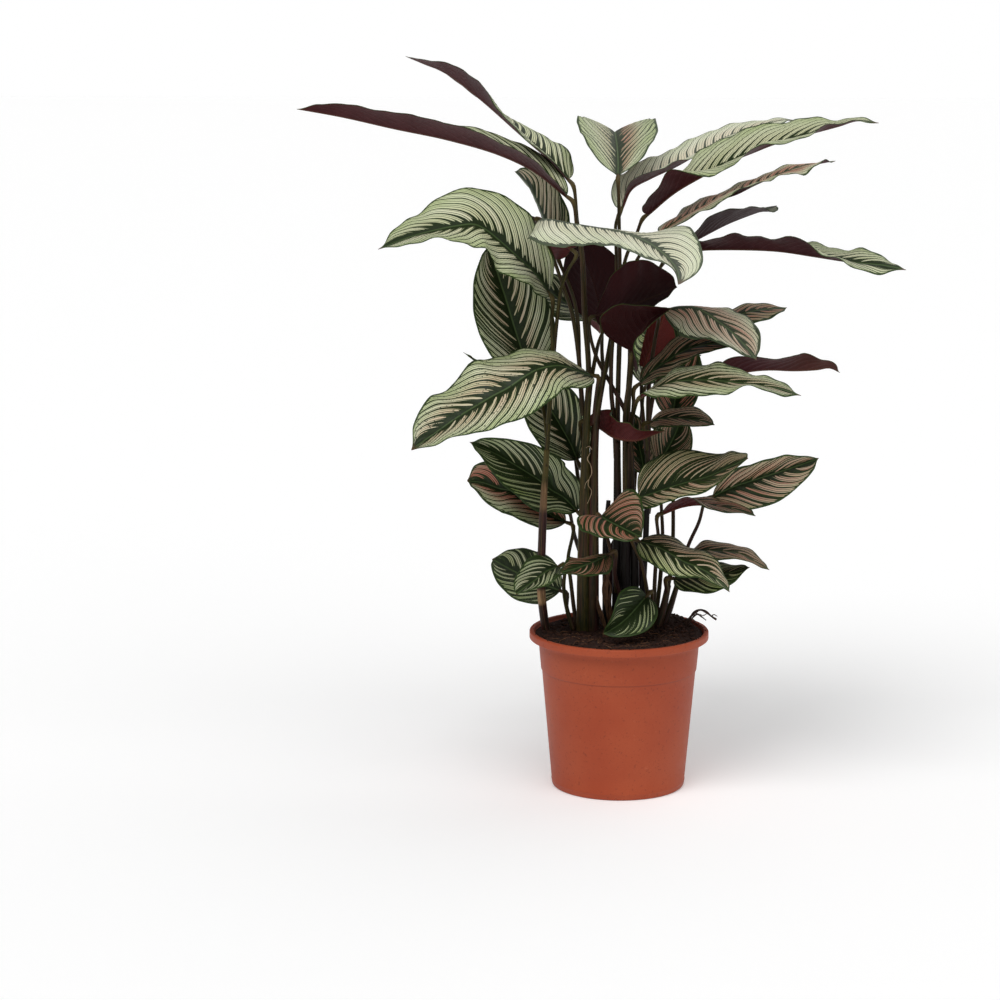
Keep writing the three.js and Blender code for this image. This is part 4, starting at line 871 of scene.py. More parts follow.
# Curved blade of a leaf: even rows along the rib, closer at both ends, and
# columns across, closer at the rib. Each half bends back towards its margin.
def add_blade(leaf, number):
    finish = dict(USUAL, **FINISH.get(number, {}))
    rib = Curve([at(point) for point in leaf["rib"]])
    even = np.linspace(0, 1, BLADE_ROWS + 1)
    s = even - 0.8 * np.sin(2 * np.pi * even) / (2 * np.pi)
    point = rib.point(s)
    ahead = rib.tangent(s, finish["calm"])
    if leaf.get("level"):
        sight = np.tile([0.0, 0.0, 1.0], (len(s), 1))
    else:
        sight = unit(EYE - point)
    left = unit(np.cross(sight, ahead))
    near = unit(np.cross(ahead, left))
    full = leaf["width"] / 2
    draw = random.Random(FIRST_BLADE_SEED + number - 1)
    shift = [draw.random() for _ in range(8)]
    end_half = BLADE_END_HALF_WIDTH * (1 - s) + 0.15
    wave_count = rib.total / WAVE_LENGTH
    vein_count = min(max(rib.total / VEIN_SPACING, FEWEST_VEINS), MOST_VEINS)
    vein_count = vein_count / finish["sweep"] ** 0.6

    reach = (np.arange(BLADE_COLUMNS + 1) / BLADE_COLUMNS) ** 1.25
    middle = (reach[1:] + reach[:-1]) / 2
    bend = np.radians(finish["fold"]) * outline(s)[:, None] ** 0.5
    ends = smooth(0, 0.12, s) * smooth(0, 0.1, 1 - s)
    forward = finish["sweep"] * (full / rib.total) * (0.84 * reach + 0.65 * reach ** 2)
    vein = vein_count * (s[:, None] - forward)
    ridge = smooth(0.0, 0.15, reach) * (1 - 0.7 * smooth(0.6, 1.0, reach))

    # The left half of the blade, then the right half: places in its grid, the
    # direction that it faces, and its height above its own smooth surface.
    halves = []
    for which, own in enumerate((left, -left)):
        shift_one, shift_two, shift_three = shift[4 * which:4 * which + 3]
        shape = outline(s, sides(finish["base"])[which], sides(finish["tip"])[which])
        half = np.maximum(full * sides(finish["share"])[which] * shape, end_half)
        turn = np.radians(along(leaf[("left", "right")[which]], s))[:, None]
        steps = turn + bend * (0.5 - middle)
        rise = np.stack([np.cos(steps), np.sin(steps)], axis=-1) * np.diff(reach)[:, None]
        out, up = np.moveaxis(np.pad(np.cumsum(rise, axis=1), ((0, 0), (1, 0), (0, 0))), -1, 0)
        ruffle = 1 + RUFFLE * np.sin(2 * np.pi * (s * wave_count * 1.3 + shift_one))
        sideways = out[..., None] * own[:, None, :] + up[..., None] * near[:, None, :]
        body = point[:, None, :] + (half * ruffle)[:, None, None] * sideways
        angle = (turn + bend * (0.5 - reach))[..., None]
        normal = np.cos(angle) * near[:, None, :] - np.sin(angle) * own[:, None, :]
        swell = np.sin(2 * np.pi * (s * wave_count + shift_two))
        swell = swell + 0.5 * np.sin(2 * np.pi * (s * wave_count * 2.3 + shift_three))
        lift = finish["wave"] * ends[:, None] * swell[:, None] * reach ** 2
        lift = lift - VEIN_RELIEF * np.cos(2 * np.pi * vein) * ridge * (half / full)[:, None]
        wide = np.repeat(half[:, None], len(reach), axis=1)
        halves.append((body, normal, vein, lift, wide))

    body, normal, vein, lift, wide = (
        np.concatenate([a[:, :0:-1], b], axis=1) for a, b in zip(*halves))
    v = np.concatenate([-reach[:0:-1], reach])
    normal[:, BLADE_COLUMNS] = unit(halves[0][1][:, 0] + halves[1][1][:, 0])
    centre = body + normal * lift[..., None]
    from_rib = np.abs(v) * wide
    thinning = (1 - s)[:, None]
    rib_depth = RIB_THICKNESS * thinning * np.exp(-(from_rib / RIB_SPREAD) ** 2)
    groove = GROOVE_DEPTH * thinning * np.exp(-(from_rib / GROOVE_SPREAD) ** 2)
    thin = BLADE_THICKNESS / 2
    upper = centre + normal * thin - normal * groove[..., None]
    lower = centre - normal * (thin + rib_depth)[..., None]

    rows, columns = wide.shape
    count = rows * columns
    on_right = smooth(-0.02, 0.02, np.tile(v, rows))

    def tone(key):
        a, b = sides(finish[key])
        return a + (b - a) * on_right

    def both(x, y, z):
        one = np.stack([np.broadcast_to(a, count) for a in (x, y, z)], axis=1)
        return np.concatenate([one, one])

    attributes = {
        "place": both(np.repeat(s, columns), np.tile(v, rows), wide.ravel()),
        "vein": both(vein.ravel(), rib.total, number - 1),
        "tone": both(tone("pale"), tone("pink"), tone("green")),
        "edge": both(tone("band"), tone("margin"), tone("reach")),
        "under": both(tone("dark"), tone("tan"), tone("red")),
        "more": both(tone("painted_shade"), finish["spots"], finish["painted_sheen"]),
    }
    points = np.concatenate([upper.reshape(-1, 3), lower.reshape(-1, 3)])
    faces = sheet_faces(rows, columns)
    beneath = [min(face) >= count for face in faces]
    piece = add_mesh(f"blade_{number:02d}", points, faces, [UPPER, LOWER], beneath, attributes)
    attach(piece, "root")
    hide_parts(f"leaf_{number:02d}")


for number, leaf in enumerate(LEAVES, 1):
    add_blade(leaf, number)


# Shoots: the sheathed lower stalks that stand in the soil and carry the leaf
# stalks. Each stem is a list of (x, z, y, radius) from the soil upwards.
SHOOTS = {
    "left": [
        [(-81, 150, 8, 4.8), (-85, 180, 8, 5.0), (-91, 232, 4, 5.0), (-90, 300, 2, 4.8),
         (-88, 352, 2, 4.6), (-87, 366, 2, 3.6), (-85, 400, 3, 3.4)],
    ],
    "main": [
        [(-42, 150, 14, 8), (-42, 250, 12, 7.4), (-41, 330, 11, 7), (-40, 400, 11, 6.2),
         (-38, 450, 12, 4.6), (-37, 470, 12, 3.4)],
        [(-31, 150, 16, 8), (-31, 250, 14, 7.4), (-31, 330, 13, 7), (-30, 400, 13, 6),
         (-27, 450, 13, 4.6), (-24, 475, 14, 3.2)],
    ],
    "centre": [
        [(-3, 150, 26, 6), (-3, 250, 26, 5.4), (-3, 335, 25, 4.8), (-4, 410, 24, 3.6)],
        [(6, 150, 18, 6.5), (7, 250, 16, 5.8), (8, 335, 13, 5.2), (9, 410, 12, 4.2)],
        [(14, 150, 24, 6), (18, 250, 21, 5.4), (14, 335, 18, 5), (12, 400, 15, 4)],
        [(22, 150, 22, 4.5), (28, 250, 18, 4), (31, 320, 17, 3.4), (32, 425, 16, 2.6)],
        [(-14, 150, 30, 5.2), (-15, 230, 28, 4.8), (-16, 300, 26, 3.8), (-13, 340, 26, 2.6)],
    ],
    "right": [
        [(41, 150, 17, 5.4), (43, 180, 18, 5), (52, 215, 22, 4.4), (57, 240, 24, 3.4)],
        [(47, 150, 22, 5), (50, 182, 23, 4.6), (60, 215, 27, 4), (68, 242, 26, 3)],
    ],
}


# Points, faces and readings of one round stem. Its ring closes on a seam,
# where a sheath's free edge stands proud by the lap.
def stem_parts(path, radii, sides, lap=0.0, drift=0.0, first_angle=0.0):
    steps = np.linalg.norm(np.diff(path, axis=0), axis=1)
    run = np.concatenate([[0], np.cumsum(steps)])
    ahead = unit(np.gradient(path, axis=0))
    across = unit(np.cross([0.0, 1.0, 0.0], ahead))
    back = unit(np.cross(ahead, across))
    share = np.arange(sides + 1) / sides
    angle = first_angle + 2 * np.pi * share[None, :] + drift * run[:, None]
    radius = radii[:, None] - lap * 0.5 + lap * share[None, :]
    points = (path[:, None, :]
              + (radius * np.cos(angle))[..., None] * across[:, None, :]
              + (radius * np.sin(angle))[..., None] * back[:, None, :])
    rows, columns = points.shape[:2]
    faces = []
    for i in range(rows - 1):
        for k in range(sides):
            a = i * columns + k
            faces.append((a, a + 1, a + 1 + columns, a + columns))
        seam = i * columns
        if lap:
            faces.append((seam + sides, seam, seam + columns, seam + sides + columns))
    faces.append(tuple(range(sides, -1, -1)))
    last = (rows - 1) * columns
    faces.append(tuple(range(last, last + sides + 1)))
    skin = np.stack([np.broadcast_to(run[:, None], (rows, columns)),
                     np.broadcast_to(share[None, :], (rows, columns)),
                     points[..., 2]], axis=2)
    return points.reshape(-1, 3), faces, skin.reshape(-1, 3)


# Stalk and sheath skin: skin holds the length from the stem's first ring, the
# share of a turn, and the height; hue holds how purple, dry and light it is,
# and where light is below zero, how far painted shade darkens it nearly to black.
def stem_skin():
    n = Nodes("stem_skin")
    run, turn, height = n.parts("skin")
    purple, dry, light = n.parts("hue")
    wind = n.vector(turn * 9.0, run * 0.018, height * 0.004)
    streak = n.noise(wind, 2.0, 4.0, 0.6)
    speck = n.noise(n.place(), 0.6, 3.0)
    olive = n.mix(n.smooth(0.3, 0.72, streak), rgb(26, 32, 12), rgb(82, 76, 28))
    brown = n.mix(n.smooth(0.3, 0.72, streak), rgb(33, 17, 16), rgb(74, 42, 36))
    beige = n.mix(n.smooth(0.25, 0.7, streak), rgb(124, 92, 62), rgb(176, 142, 100))
    broad = n.noise(n.vector(turn * 3.0, run * 0.006, height * 0.002), 1.5, 2.0)
    spread = (streak - 0.5) * 1.6 + (broad - 0.5) * 2.6
    change = n.clamp(purple + spread)
    colour = n.mix(change, olive, brown)
    edge = 1.0 - n.smooth(0.0, 0.02, 1.0 - turn)
    colour = n.mix(edge * 0.5, colour, beige)
    colour = n.mix(dry, colour, beige)
    colour = n.mix(light * 0.4, colour, rgb(128, 112, 62))
    # Painted shade: a light below zero darkens the skin nearly to black.
    colour = n.mix(n.math("MAXIMUM", 0.0 - light, 0.0) * 0.8, colour, rgb(8, 3, 4))
    colour = n.mix(n.smooth(0.5, 0.75, speck) * 0.25, colour, rgb(40, 28, 22))
    n.set("Base Color", colour)
    n.set("Roughness", 0.36 + streak * 0.3)
    n.set("Specular IOR Level", 0.2)
    n.bump(streak * 1.0 + speck * 0.3, 0.6, 0.5)
    return n.material


STEM_SKIN = stem_skin()


# One mesh from several: each is (points, faces, readings), with readings for
# the attributes in keys.
def add_joined(name, pieces, material, keys):
    points = []
    faces = []
    readings = {key: [] for key in keys}
    count = 0
    for piece_points, piece_faces, values in pieces:
        points.append(piece_points)
        faces.extend(tuple(index + count for index in face) for face in piece_faces)
        for key, value in zip(keys, values):
            readings[key].append(value)
        count += len(piece_points)
    readings = {key: np.concatenate(values) for key, values in readings.items()}
    return add_mesh(name, np.concatenate(points), faces, [material], None, readings)


PURPLE_SHARE = {"left": 0.15, "main": 0.45, "centre": 0.62, "right": 0.42}


# A leaf's stalk, from the swollen joint under its blade down to its shoot.
def leaf_stalk(leaf, draw):
    rib = Curve([at(point) for point in leaf["rib"]])
    start = rib.point(0)[0]
    ahead = rib.tangent(0)[0]
    joint = start - ahead * JOINT_GAP
    neck = joint - ahead * NECK_LENGTH
    curve = Curve([joint, neck] + [at(point) for point in leaf["stalk"]])
    count = max(int(curve.total / STALK_STEP), FEWEST_STALK_STEPS)
    path = curve.point(np.linspace(0, 1, count + 1))
    path = np.vstack([start + ahead * 3.0, path])
    steps = np.linalg.norm(np.diff(path, axis=0), axis=1)
    run = np.concatenate([[0], np.cumsum(steps)])
    share = run / run[-1]
    radii = STALK_TOP_RADIUS + (STALK_BOTTOM_RADIUS - STALK_TOP_RADIUS) * share
    radii = radii + 0.85 * np.exp(-((run - JOINT_MIDDLE) / 7) ** 2)
    radii[0] = 0.9
    points, faces, skin = stem_parts(path, radii, STALK_SIDES, 0, 0.004, draw.random() * 6)
    purple = PURPLE_SHARE[leaf["shoot"]] + (draw.random() - 0.5) * 0.25
    swollen = np.exp(-((run - JOINT_MIDDLE) / 8) ** 2)
    hue = np.stack([np.full(len(run), purple), 0 * run, 0.6 * swollen], axis=1)
    return points, faces, (skin, np.repeat(hue, STALK_SIDES + 1, axis=0))


# A stem of a shoot, from the soil upwards.
def sheath_stem(shoot, index, stem, draw):
    curve = Curve([at(point[:3]) for point in stem])
    count = int(curve.total / SHEATH_STEP)
    share = np.linspace(0, 1, count + 1)
    path = curve.point(share)
    radii = np.interp(share, np.linspace(0, 1, len(stem)), [point[3] for point in stem])
    drift = (draw.random() - 0.5) * 0.006
    angle = draw.random() * 6
    points, faces, skin = stem_parts(path, radii, SHEATH_SIDES, SHEATH_LAP, drift, angle)
    height = path[:, 2]
    purple = np.full(count + 1, PURPLE_SHARE[shoot] + (draw.random() - 0.5) * 0.2)
    dry = np.zeros(count + 1)
    light = np.zeros(count + 1)
    if shoot == "left":
        purple = 1.0 - smooth(*PURPLE_ENDS, height)
        dry = within(*DRY_PATCH, height) * 0.5 + within(*DRY_RING, height) * 0.9
        light = 0.6 * smooth(*LIGHT_BEGINS, height)
    if shoot == "main":
        purple = purple + (-0.3, 0.35)[index]
    # Painted shade on the centre stems: darkest below 320 mm, gone by 420 mm.
    if shoot == "centre":
        light = 1.15 * smooth(320, 420, height) - 1.15
    hue = np.stack([purple, dry, light], axis=1)
    return points, faces, (skin, np.repeat(hue, SHEATH_SIDES + 1, axis=0))


def add_shoot(shoot):
    draw = random.Random(sum(ord(letter) for letter in shoot))
    pieces = [sheath_stem(shoot, i, stem, draw) for i, stem in enumerate(SHOOTS[shoot])]
    pieces += [leaf_stalk(leaf, draw) for leaf in LEAVES if leaf["shoot"] == shoot]
    piece = add_joined("stems_" + shoot, pieces, STEM_SKIN, ("skin", "hue"))
    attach(piece, "root")
    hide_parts("stalks_" + shoot)


for shoot in SHOOTS:
    add_shoot(shoot)


# Dry scraps of sheath at the foot of the shoots: points, width, and the way
# each one faces, in radians.
SCRAPS = [
    ([(-13, 192, 12), (-15, 212, 10), (-17, 234, 8), (-12, 258, 4)], 9, 0.4),
    ([(-8, 196, 16), (-10, 216, 12), (-8, 238, 8), (-14, 252, 4)], 7, 1.9),
    ([(-16, 186, 10), (-20, 200, 6), (-24, 214, 4), (-25, 226, 3)], 6, 0.9),
    ([(30, 184, 14), (31, 200, 10), (34, 216, 8), (33, 228, 6)], 6, 1.4),
]
SCRAP_ROWS = 31
SCRAP_COLUMNS = 9
SCRAP_HALF_THICKNESS = 0.2

# Pale roots on the main shoot, and a dry twig: points and radius.
ROOTS = [
    ([(-35, 396, 3), (-38, 389, 3), (-34, 381, 3), (-33, 372, 3), (-36, 365, 3), (-37, 358, 3),
      (-33, 351, 2), (-35, 343, 2), (-38, 336, 2)], 0.5),
    ([(-36, 365, 3), (-40, 360, 3), (-41, 354, 3)], 0.35),
    ([(-33, 400, 3), (-36, 404, 3), (-40, 402, 3)], 0.4),
]
TWIGS = [
    ([(70, 186, 26), (79, 195, 23), (88, 207, 20), (95, 210.5, 18), (102, 208, 16), (108, 203, 14),
      (114, 199, 12)], 2.2),
    ([(74, 187, 22), (83, 197, 20), (91, 205, 19), (97, 202, 17), (102, 198, 16)], 1.3),
    ([(88, 207, 20), (94, 205, 24), (99, 204, 26), (104, 207, 26)], 0.9),
    ([(108, 203, 14), (111, 205, 13), (115, 203, 12)], 0.8),
    ([(60, 187, 30), (69, 194, 28), (78, 199, 26), (85, 200, 24), (90, 196, 22)], 1.0),
    ([(84, 199, 22), (89, 195, 14), (95, 192, 8), (99, 189, 3)], 0.7),
]


# Dry matter, from a dark tone to a light one. fibre: how fine its streaks are.
def dry_skin(name, low, high, fibre):
    n = Nodes(name)
    run, turn, height = n.parts("skin")
    streak = n.noise(n.vector(turn * fibre, run * 0.05, height), 2.0, 4.0, 0.6)
    speck = n.noise(n.place(), 0.35, 4.0)
    colour = n.mix(n.smooth(0.3, 0.7, streak), low, high)
    colour = n.mix(n.smooth(0.45, 0.7, speck) * 0.5, colour, low)
    n.set("Base Color", colour)
    n.set("Roughness", 0.6 + streak * 0.3)
    n.bump(streak + speck, 0.7, 0.6)
    return n.material


def ribbon_parts(points, width, turn):
    curve = Curve([at(point) for point in points])
    share = np.linspace(0, 1, SCRAP_ROWS)
    path = curve.point(share)
    ahead = curve.tangent(share)
    across = unit(np.cross([0.0, 1.0, 0.0], ahead))
    back = unit(np.cross(ahead, across))
    place = np.linspace(-1, 1, SCRAP_COLUMNS)
    swell = np.sin(np.pi * np.clip(share * 0.85 + 0.12, 0, 1)) ** 0.6
    radius = 0.95 * width / 2 * (0.25 + 0.75 * swell)
    angle = (turn + 1.5 * share[:, None] + place * 1.15)[..., None]
    out = np.cos(angle) * across[:, None, :] + np.sin(angle) * back[:, None, :]
    base = path[:, None, :] + radius[:, None, None] * out
    thick = out * SCRAP_HALF_THICKNESS
    both = np.concatenate([(base + thick).reshape(-1, 3), (base - thick).reshape(-1, 3)])
    skin = np.stack([np.repeat(share * curve.total, SCRAP_COLUMNS),
                     np.tile((place + 1) / 2, SCRAP_ROWS), base[..., 2].ravel() * 0.05], axis=1)
    return both, sheet_faces(SCRAP_ROWS, SCRAP_COLUMNS), (np.concatenate([skin, skin]),)


def thread_parts(points, radius, sides=7):
    curve = Curve(points)
    count = max(int(curve.total / THREAD_STEP), FEWEST_THREAD_STEPS)
    share = np.linspace(0, 1, count + 1)
    radii = radius * (1 - 0.5 * share) * (1 + 0.2 * np.sin(share * 26 + radius * 9))
    body, faces, skin = stem_parts(curve.point(share), radii, sides)
    return body, faces, (skin,)


def add_debris():
    scraps = [ribbon_parts(*scrap) for scrap in SCRAPS]
    roots = [thread_parts([at(point) for point in path], radius) for path, radius in ROOTS]
    twigs = [thread_parts([at(point) for point in path], radius, 9) for path, radius in TWIGS]
    sheath = dry_skin("dry_sheath", rgb(66, 44, 30), rgb(128, 92, 56), 8.0)
    root_skin = dry_skin("root_skin", rgb(150, 122, 92), rgb(214, 190, 158), 4.0)
    bark = dry_skin("twig_bark", rgb(36, 24, 19), rgb(88, 58, 40), 6.0)
    for name, pieces, material in (("dry_sheaths", scraps, sheath),
                                   ("air_roots", roots, root_skin),
                                   ("dry_twig", twigs, bark)):
        piece = add_joined(name, pieces, material, ("skin",))
        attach(piece, "root")


add_debris()


# Outer radius of the pot's wall, which steps out above the step.
def pot_wall_at(height):
    share = (height - BASE_CORNER) / (UNDER_LIP - BASE_CORNER)
    step = STEP_IN if height > STEP_HEIGHT else 0
    return BASE_RADIUS + (NECK_RADIUS - STEP_IN - BASE_RADIUS) * share + step


# Points of a rounded corner between two directions, in degrees.
def rounding(centre_radius, centre_height, size, first, last, count=5):
    angles = np.radians(np.linspace(first, last, count))
    return [(centre_radius + size * math.cos(angle), centre_height + size * math.sin(angle))
            for angle in angles]


# Radius and height around the pot's wall, from the middle of its base up the
# outside, over the lip, and down the inside to the middle of its floor.
def pot_profile():
    profile = [(0, 0), (30, 0), (BASE_RADIUS - 8, 0)]
    profile += rounding(BASE_RADIUS - BASE_CORNER, BASE_CORNER, BASE_CORNER, -90, -5)
    profile += [(pot_wall_at(6.2), 6.2), (pot_wall_at(7.0) + FOOT_RIDGE, 6.8),
                (pot_wall_at(7.6) + FOOT_RIDGE, 7.4), (pot_wall_at(8.2), 8.2)]
    for height in (*WALL_RINGS, STEP_HEIGHT - 1.2):
        profile.append((pot_wall_at(height), height))
    at_step = pot_wall_at(STEP_HEIGHT)
    profile += [(at_step + 0.2, STEP_HEIGHT - 0.5), (at_step + 0.85, STEP_HEIGHT + 0.3)]
    for height in (STEP_HEIGHT + 1.2, *NECK_RINGS, UNDER_LIP - 2):
        profile.append((pot_wall_at(height), height))
    lower, upper, inner = LIP_LOWER_CORNER, LIP_UPPER_CORNER, LIP_INNER_CORNER
    profile += rounding(NECK_RADIUS + 1.6, UNDER_LIP - 1.4, lower, 180, 95, 4)
    profile += rounding(LIP_RADIUS - lower, UNDER_LIP + lower, lower, -85, 0)
    profile += rounding(LIP_RADIUS - upper, POT_HEIGHT - upper, upper, 0, 90, 6)
    profile += rounding(LIP_INNER_RADIUS + inner, POT_HEIGHT - inner, inner, 90, 180, 6)
    neck = NECK_RADIUS - POT_WALL
    foot = BASE_RADIUS - POT_WALL
    profile += [(LIP_INNER_RADIUS - 0.3, POT_HEIGHT - 4), (neck + 0.6, UNDER_LIP - 1),
                (neck, UNDER_LIP - 4), (foot, POT_FLOOR + 4), (foot - 4, POT_FLOOR),
                (0, POT_FLOOR)]
    return profile


# Points and faces of a profile of (radius, height) turned about the pot's axis.
def lathe_parts(profile, sides):
    angles = 2 * np.pi * np.arange(sides) / sides
    points = []
    faces = []
    rings = []
    for radius, height in profile:
        first = len(points)
        if radius < 1e-6:
            points.append((0, 0, height))
            rings.append([first] * sides)
        else:
            points += [(radius * math.cos(a), radius * math.sin(a), height) for a in angles]
            rings.append(list(range(first, first + sides)))
    for low, high in zip(rings, rings[1:]):
        for k in range(sides):
            m = (k + 1) % sides
            corners = (low[k], low[m], high[m], high[k])
            faces.append(tuple(dict.fromkeys(corners)))
    return points, faces


# Plastic with faint clouds, fine grain, dark specks and light scuffs, and a
# painted shadow along the step.
def pot_plastic():
    n = Nodes("pot_plastic")
    place = n.place()
    broad = n.noise(place, 0.012, 3.0)
    grain = n.noise(place, 1.1, 3.0, 0.6)
    dots = n.noise(place, 0.28, 2.0, 0.7)
    scratches = n.noise(place, 0.09, 5.0, 0.75)
    colour = n.mix(n.smooth(0.3, 0.7, broad), rgb(158, 65, 34), rgb(167, 75, 42))
    colour = n.mix(n.smooth(0.35, 0.7, grain) * 0.25, colour, rgb(136, 54, 28))
    colour = n.mix(n.smooth(0.61, 0.68, dots) * 0.45, colour, rgb(104, 46, 30))
    colour = n.mix(n.smooth(0.6, 0.75, scratches) * 0.3, colour, rgb(188, 104, 74))
    # Painted shadow: a dark line along the step, where the ledge shades the wall below it.
    to_step = abs(n.split(place)[2] - (STEP_HEIGHT - 0.4))
    at_step = 1.0 - n.smooth(0.3, 1.2, to_step)
    colour = n.mix(at_step * 0.4, colour, rgb(112, 44, 24))
    n.set("Base Color", colour)
    n.set("Roughness", 0.42 + scratches * 0.22)
    n.set("Specular IOR Level", 0.3)
    n.bump(grain * 0.6 + scratches * 0.6, 0.3, 0.3)
    return n.material


# The pot, with its drain holes cut through the floor.
def add_pot():
    points, faces = lathe_parts(pot_profile(), POT_SIDES)
    pot = add_mesh("planter", points, faces, [pot_plastic()])
    n = DRAIN_SIDES
    cutters = []
    for i in range(DRAIN_HOLES):
        angle = 2 * math.pi * (i + 0.5) / DRAIN_HOLES
        x, y = DRAIN_RING_RADIUS * math.cos(angle), DRAIN_RING_RADIUS * math.sin(angle)
        ring = [(x + DRAIN_RADIUS * math.cos(a), y + DRAIN_RADIUS * math.sin(a))
                for a in 2 * np.pi * np.arange(n) / n]
        points = [(x * MM, y * MM, z * MM) for z in (-10, 10) for x, y in ring]
        faces = [(k, (k + 1) % n, n + (k + 1) % n, n + k) for k in range(n)]
        faces += [tuple(range(n - 1, -1, -1)), tuple(range(n, 2 * n))]
        mesh = bpy.data.meshes.new("hole")
        mesh.from_pydata(points, [], faces)
        cutters.append(add_object("hole", mesh))
        cut = pot.modifiers.new("hole", "BOOLEAN")
        cut.operation = "DIFFERENCE"
        cut.object = cutters[-1]
    bpy.context.view_layer.update()
    whole = pot.evaluated_get(bpy.context.evaluated_depsgraph_get())
    cut_mesh = bpy.data.meshes.new_from_object(whole)
    pot.modifiers.clear()
    pot.data = cut_mesh
    for cutter in cutters:
        bpy.data.objects.remove(cutter)
    pot.data.shade_smooth()
    pot.data.set_sharp_from_angle(angle=math.radians(40))
    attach(pot, "root")
    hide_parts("pot")


add_pot()


# Height of the soil above its level, at a place on it.
def soil_relief(x, y):
    swell = math.sin(x * 0.061 + 1.3) * math.cos(y * 0.053 - 0.4)
    ripple = math.sin(x * 0.17 - y * 0.12 + 0.6) * math.sin(y * 0.19 + x * 0.07)
    bank = 0.5 * max(0, (x + y * 0.6 - 40) / 55)
    from_heap = math.hypot(x - 56, y - 38) / SOIL_HEAP_SPREAD
    heap = SOIL_HEAP * math.exp(-from_heap ** 2 / 2)
    return SOIL_ROUGHNESS * (0.6 * swell + 0.4 * ripple + bank) + heap


# Radius of the soil's side, which stays a gap away from the pot's wall.
def soil_radius_at(height):
    share = (height - POT_FLOOR - 4) / (UNDER_LIP - 7 - POT_FLOOR)
    return BASE_RADIUS - POT_WALL + (NECK_RADIUS - BASE_RADIUS) * share - SOIL_GAP


# Dark soil; bright lightens a crumb, and fibre is 1 on the palest fibres.
def soil_skin():
    n = Nodes("soil_crumb")
    bright, fibre = n.parts("tone")[:2]
    place = n.place()
    fine = n.noise(place, 1.4, 4.0, 0.7)
    clods = n.noise(place, 0.22, 3.0, 0.6)
    colour = n.mix(n.smooth(0.3, 0.7, fine), rgb(24, 14, 11), rgb(60, 38, 29))
    colour = n.mix(n.smooth(0.4, 0.7, clods) * 0.5, colour, rgb(50, 27, 20))
    colour = n.mix(bright * 0.5, colour, rgb(92, 58, 41))
    colour = n.mix(fibre, colour, rgb(150, 108, 76))
    n.set("Base Color", colour)
    n.set("Roughness", 0.78 + fine * 0.2)
    n.set("Specular IOR Level", 0.25)
    n.bump(fine + clods, 0.9, 1.2)
    return n.material


# Corners and faces of a ball of twenty triangles.
def crumb_shape():
    golden = (1 + 5 ** 0.5) / 2
    corners = [(-1, golden, 0), (1, golden, 0), (-1, -golden, 0), (1, -golden, 0),
               (0, -1, golden), (0, 1, golden), (0, -1, -golden), (0, 1, -golden),
               (golden, 0, -1), (golden, 0, 1), (-golden, 0, -1), (-golden, 0, 1)]
    faces = [(0, 11, 5), (0, 5, 1), (0, 1, 7), (0, 7, 10), (0, 10, 11), (1, 5, 9), (5, 11, 4),
             (11, 10, 2), (10, 7, 6), (7, 1, 8), (3, 9, 4), (3, 4, 2), (3, 2, 6), (3, 6, 8),
             (3, 8, 9), (4, 9, 5), (2, 4, 11), (6, 2, 10), (8, 6, 7), (9, 8, 1)]
    return unit(np.array(corners, float)), faces


# A random place on the soil, no further than the limit from the pot's axis.
def soil_place(draw, limit):
    radius = limit * math.sqrt(draw.random())
    angle = draw.random() * 2 * math.pi
    return radius * math.cos(angle), radius * math.sin(angle)


# The ground itself: flat near its edge, rough and heaped inside.
def soil_ground(edge):
    profile = [(0, SOIL_BOTTOM), (soil_radius_at(POT_FLOOR + 4) - 4.4, SOIL_BOTTOM),
               (soil_radius_at(POT_FLOOR + 4.4), POT_FLOOR + 4.4), (edge, UNDER_LIP - 1.5)]
    for i in range(SOIL_RINGS):
        radius = SOIL_RIM_RADIUS * (1 - i / SOIL_RINGS)
        dip = 0.9 * smooth(SOIL_RIM_RADIUS - 6, SOIL_RIM_RADIUS, radius)
        profile.append((radius, SOIL_TOP - dip))
    profile.append((0, SOIL_TOP))
    points, faces = lathe_parts(profile, SOIL_SIDES)
    shaped = []
    for x, y, z in points:
        if z > SOIL_TOP - 2:
            rough = noise.noise(Vector((x, y, 0)) * 0.16) * 2.2
            rough += noise.noise(Vector((x, y, 9)) * 0.5) * 1.5
            rim = 1 - smooth(SOIL_RIM_RADIUS - 9, SOIL_RIM_RADIUS, math.hypot(x, y))
            z += (soil_relief(x, y) + rough) * max(rim, 0.25)
        shaped.append((x, y, z))
    return np.array(shaped), faces


# A pale fibre that wanders over the soil, its ends under the surface.
def soil_fibre(draw, edge):
    x, y = soil_place(draw, edge - 12)
    heading = draw.random() * 2 * math.pi
    path = []
    for k in range(FIBRE_POINTS):
        buried = 1.5 if k in (0, FIBRE_POINTS - 1) else 0
        z = SOIL_TOP + soil_relief(x, y) + 0.5 + 1.3 * draw.random() - buried
        path.append((x, y, z))
        heading += draw.uniform(-0.8, 0.8)
        step = draw.uniform(*FIBRE_STEPS)
        x = x + step * math.cos(heading)
        y = y + step * math.sin(heading)
        if math.hypot(x, y) > edge - 3:
            heading += math.pi
            x, y = path[-1][0], path[-1][1] + 0.5
    return thread_parts(path, draw.uniform(*FIBRE_RADII), 5)[:2]


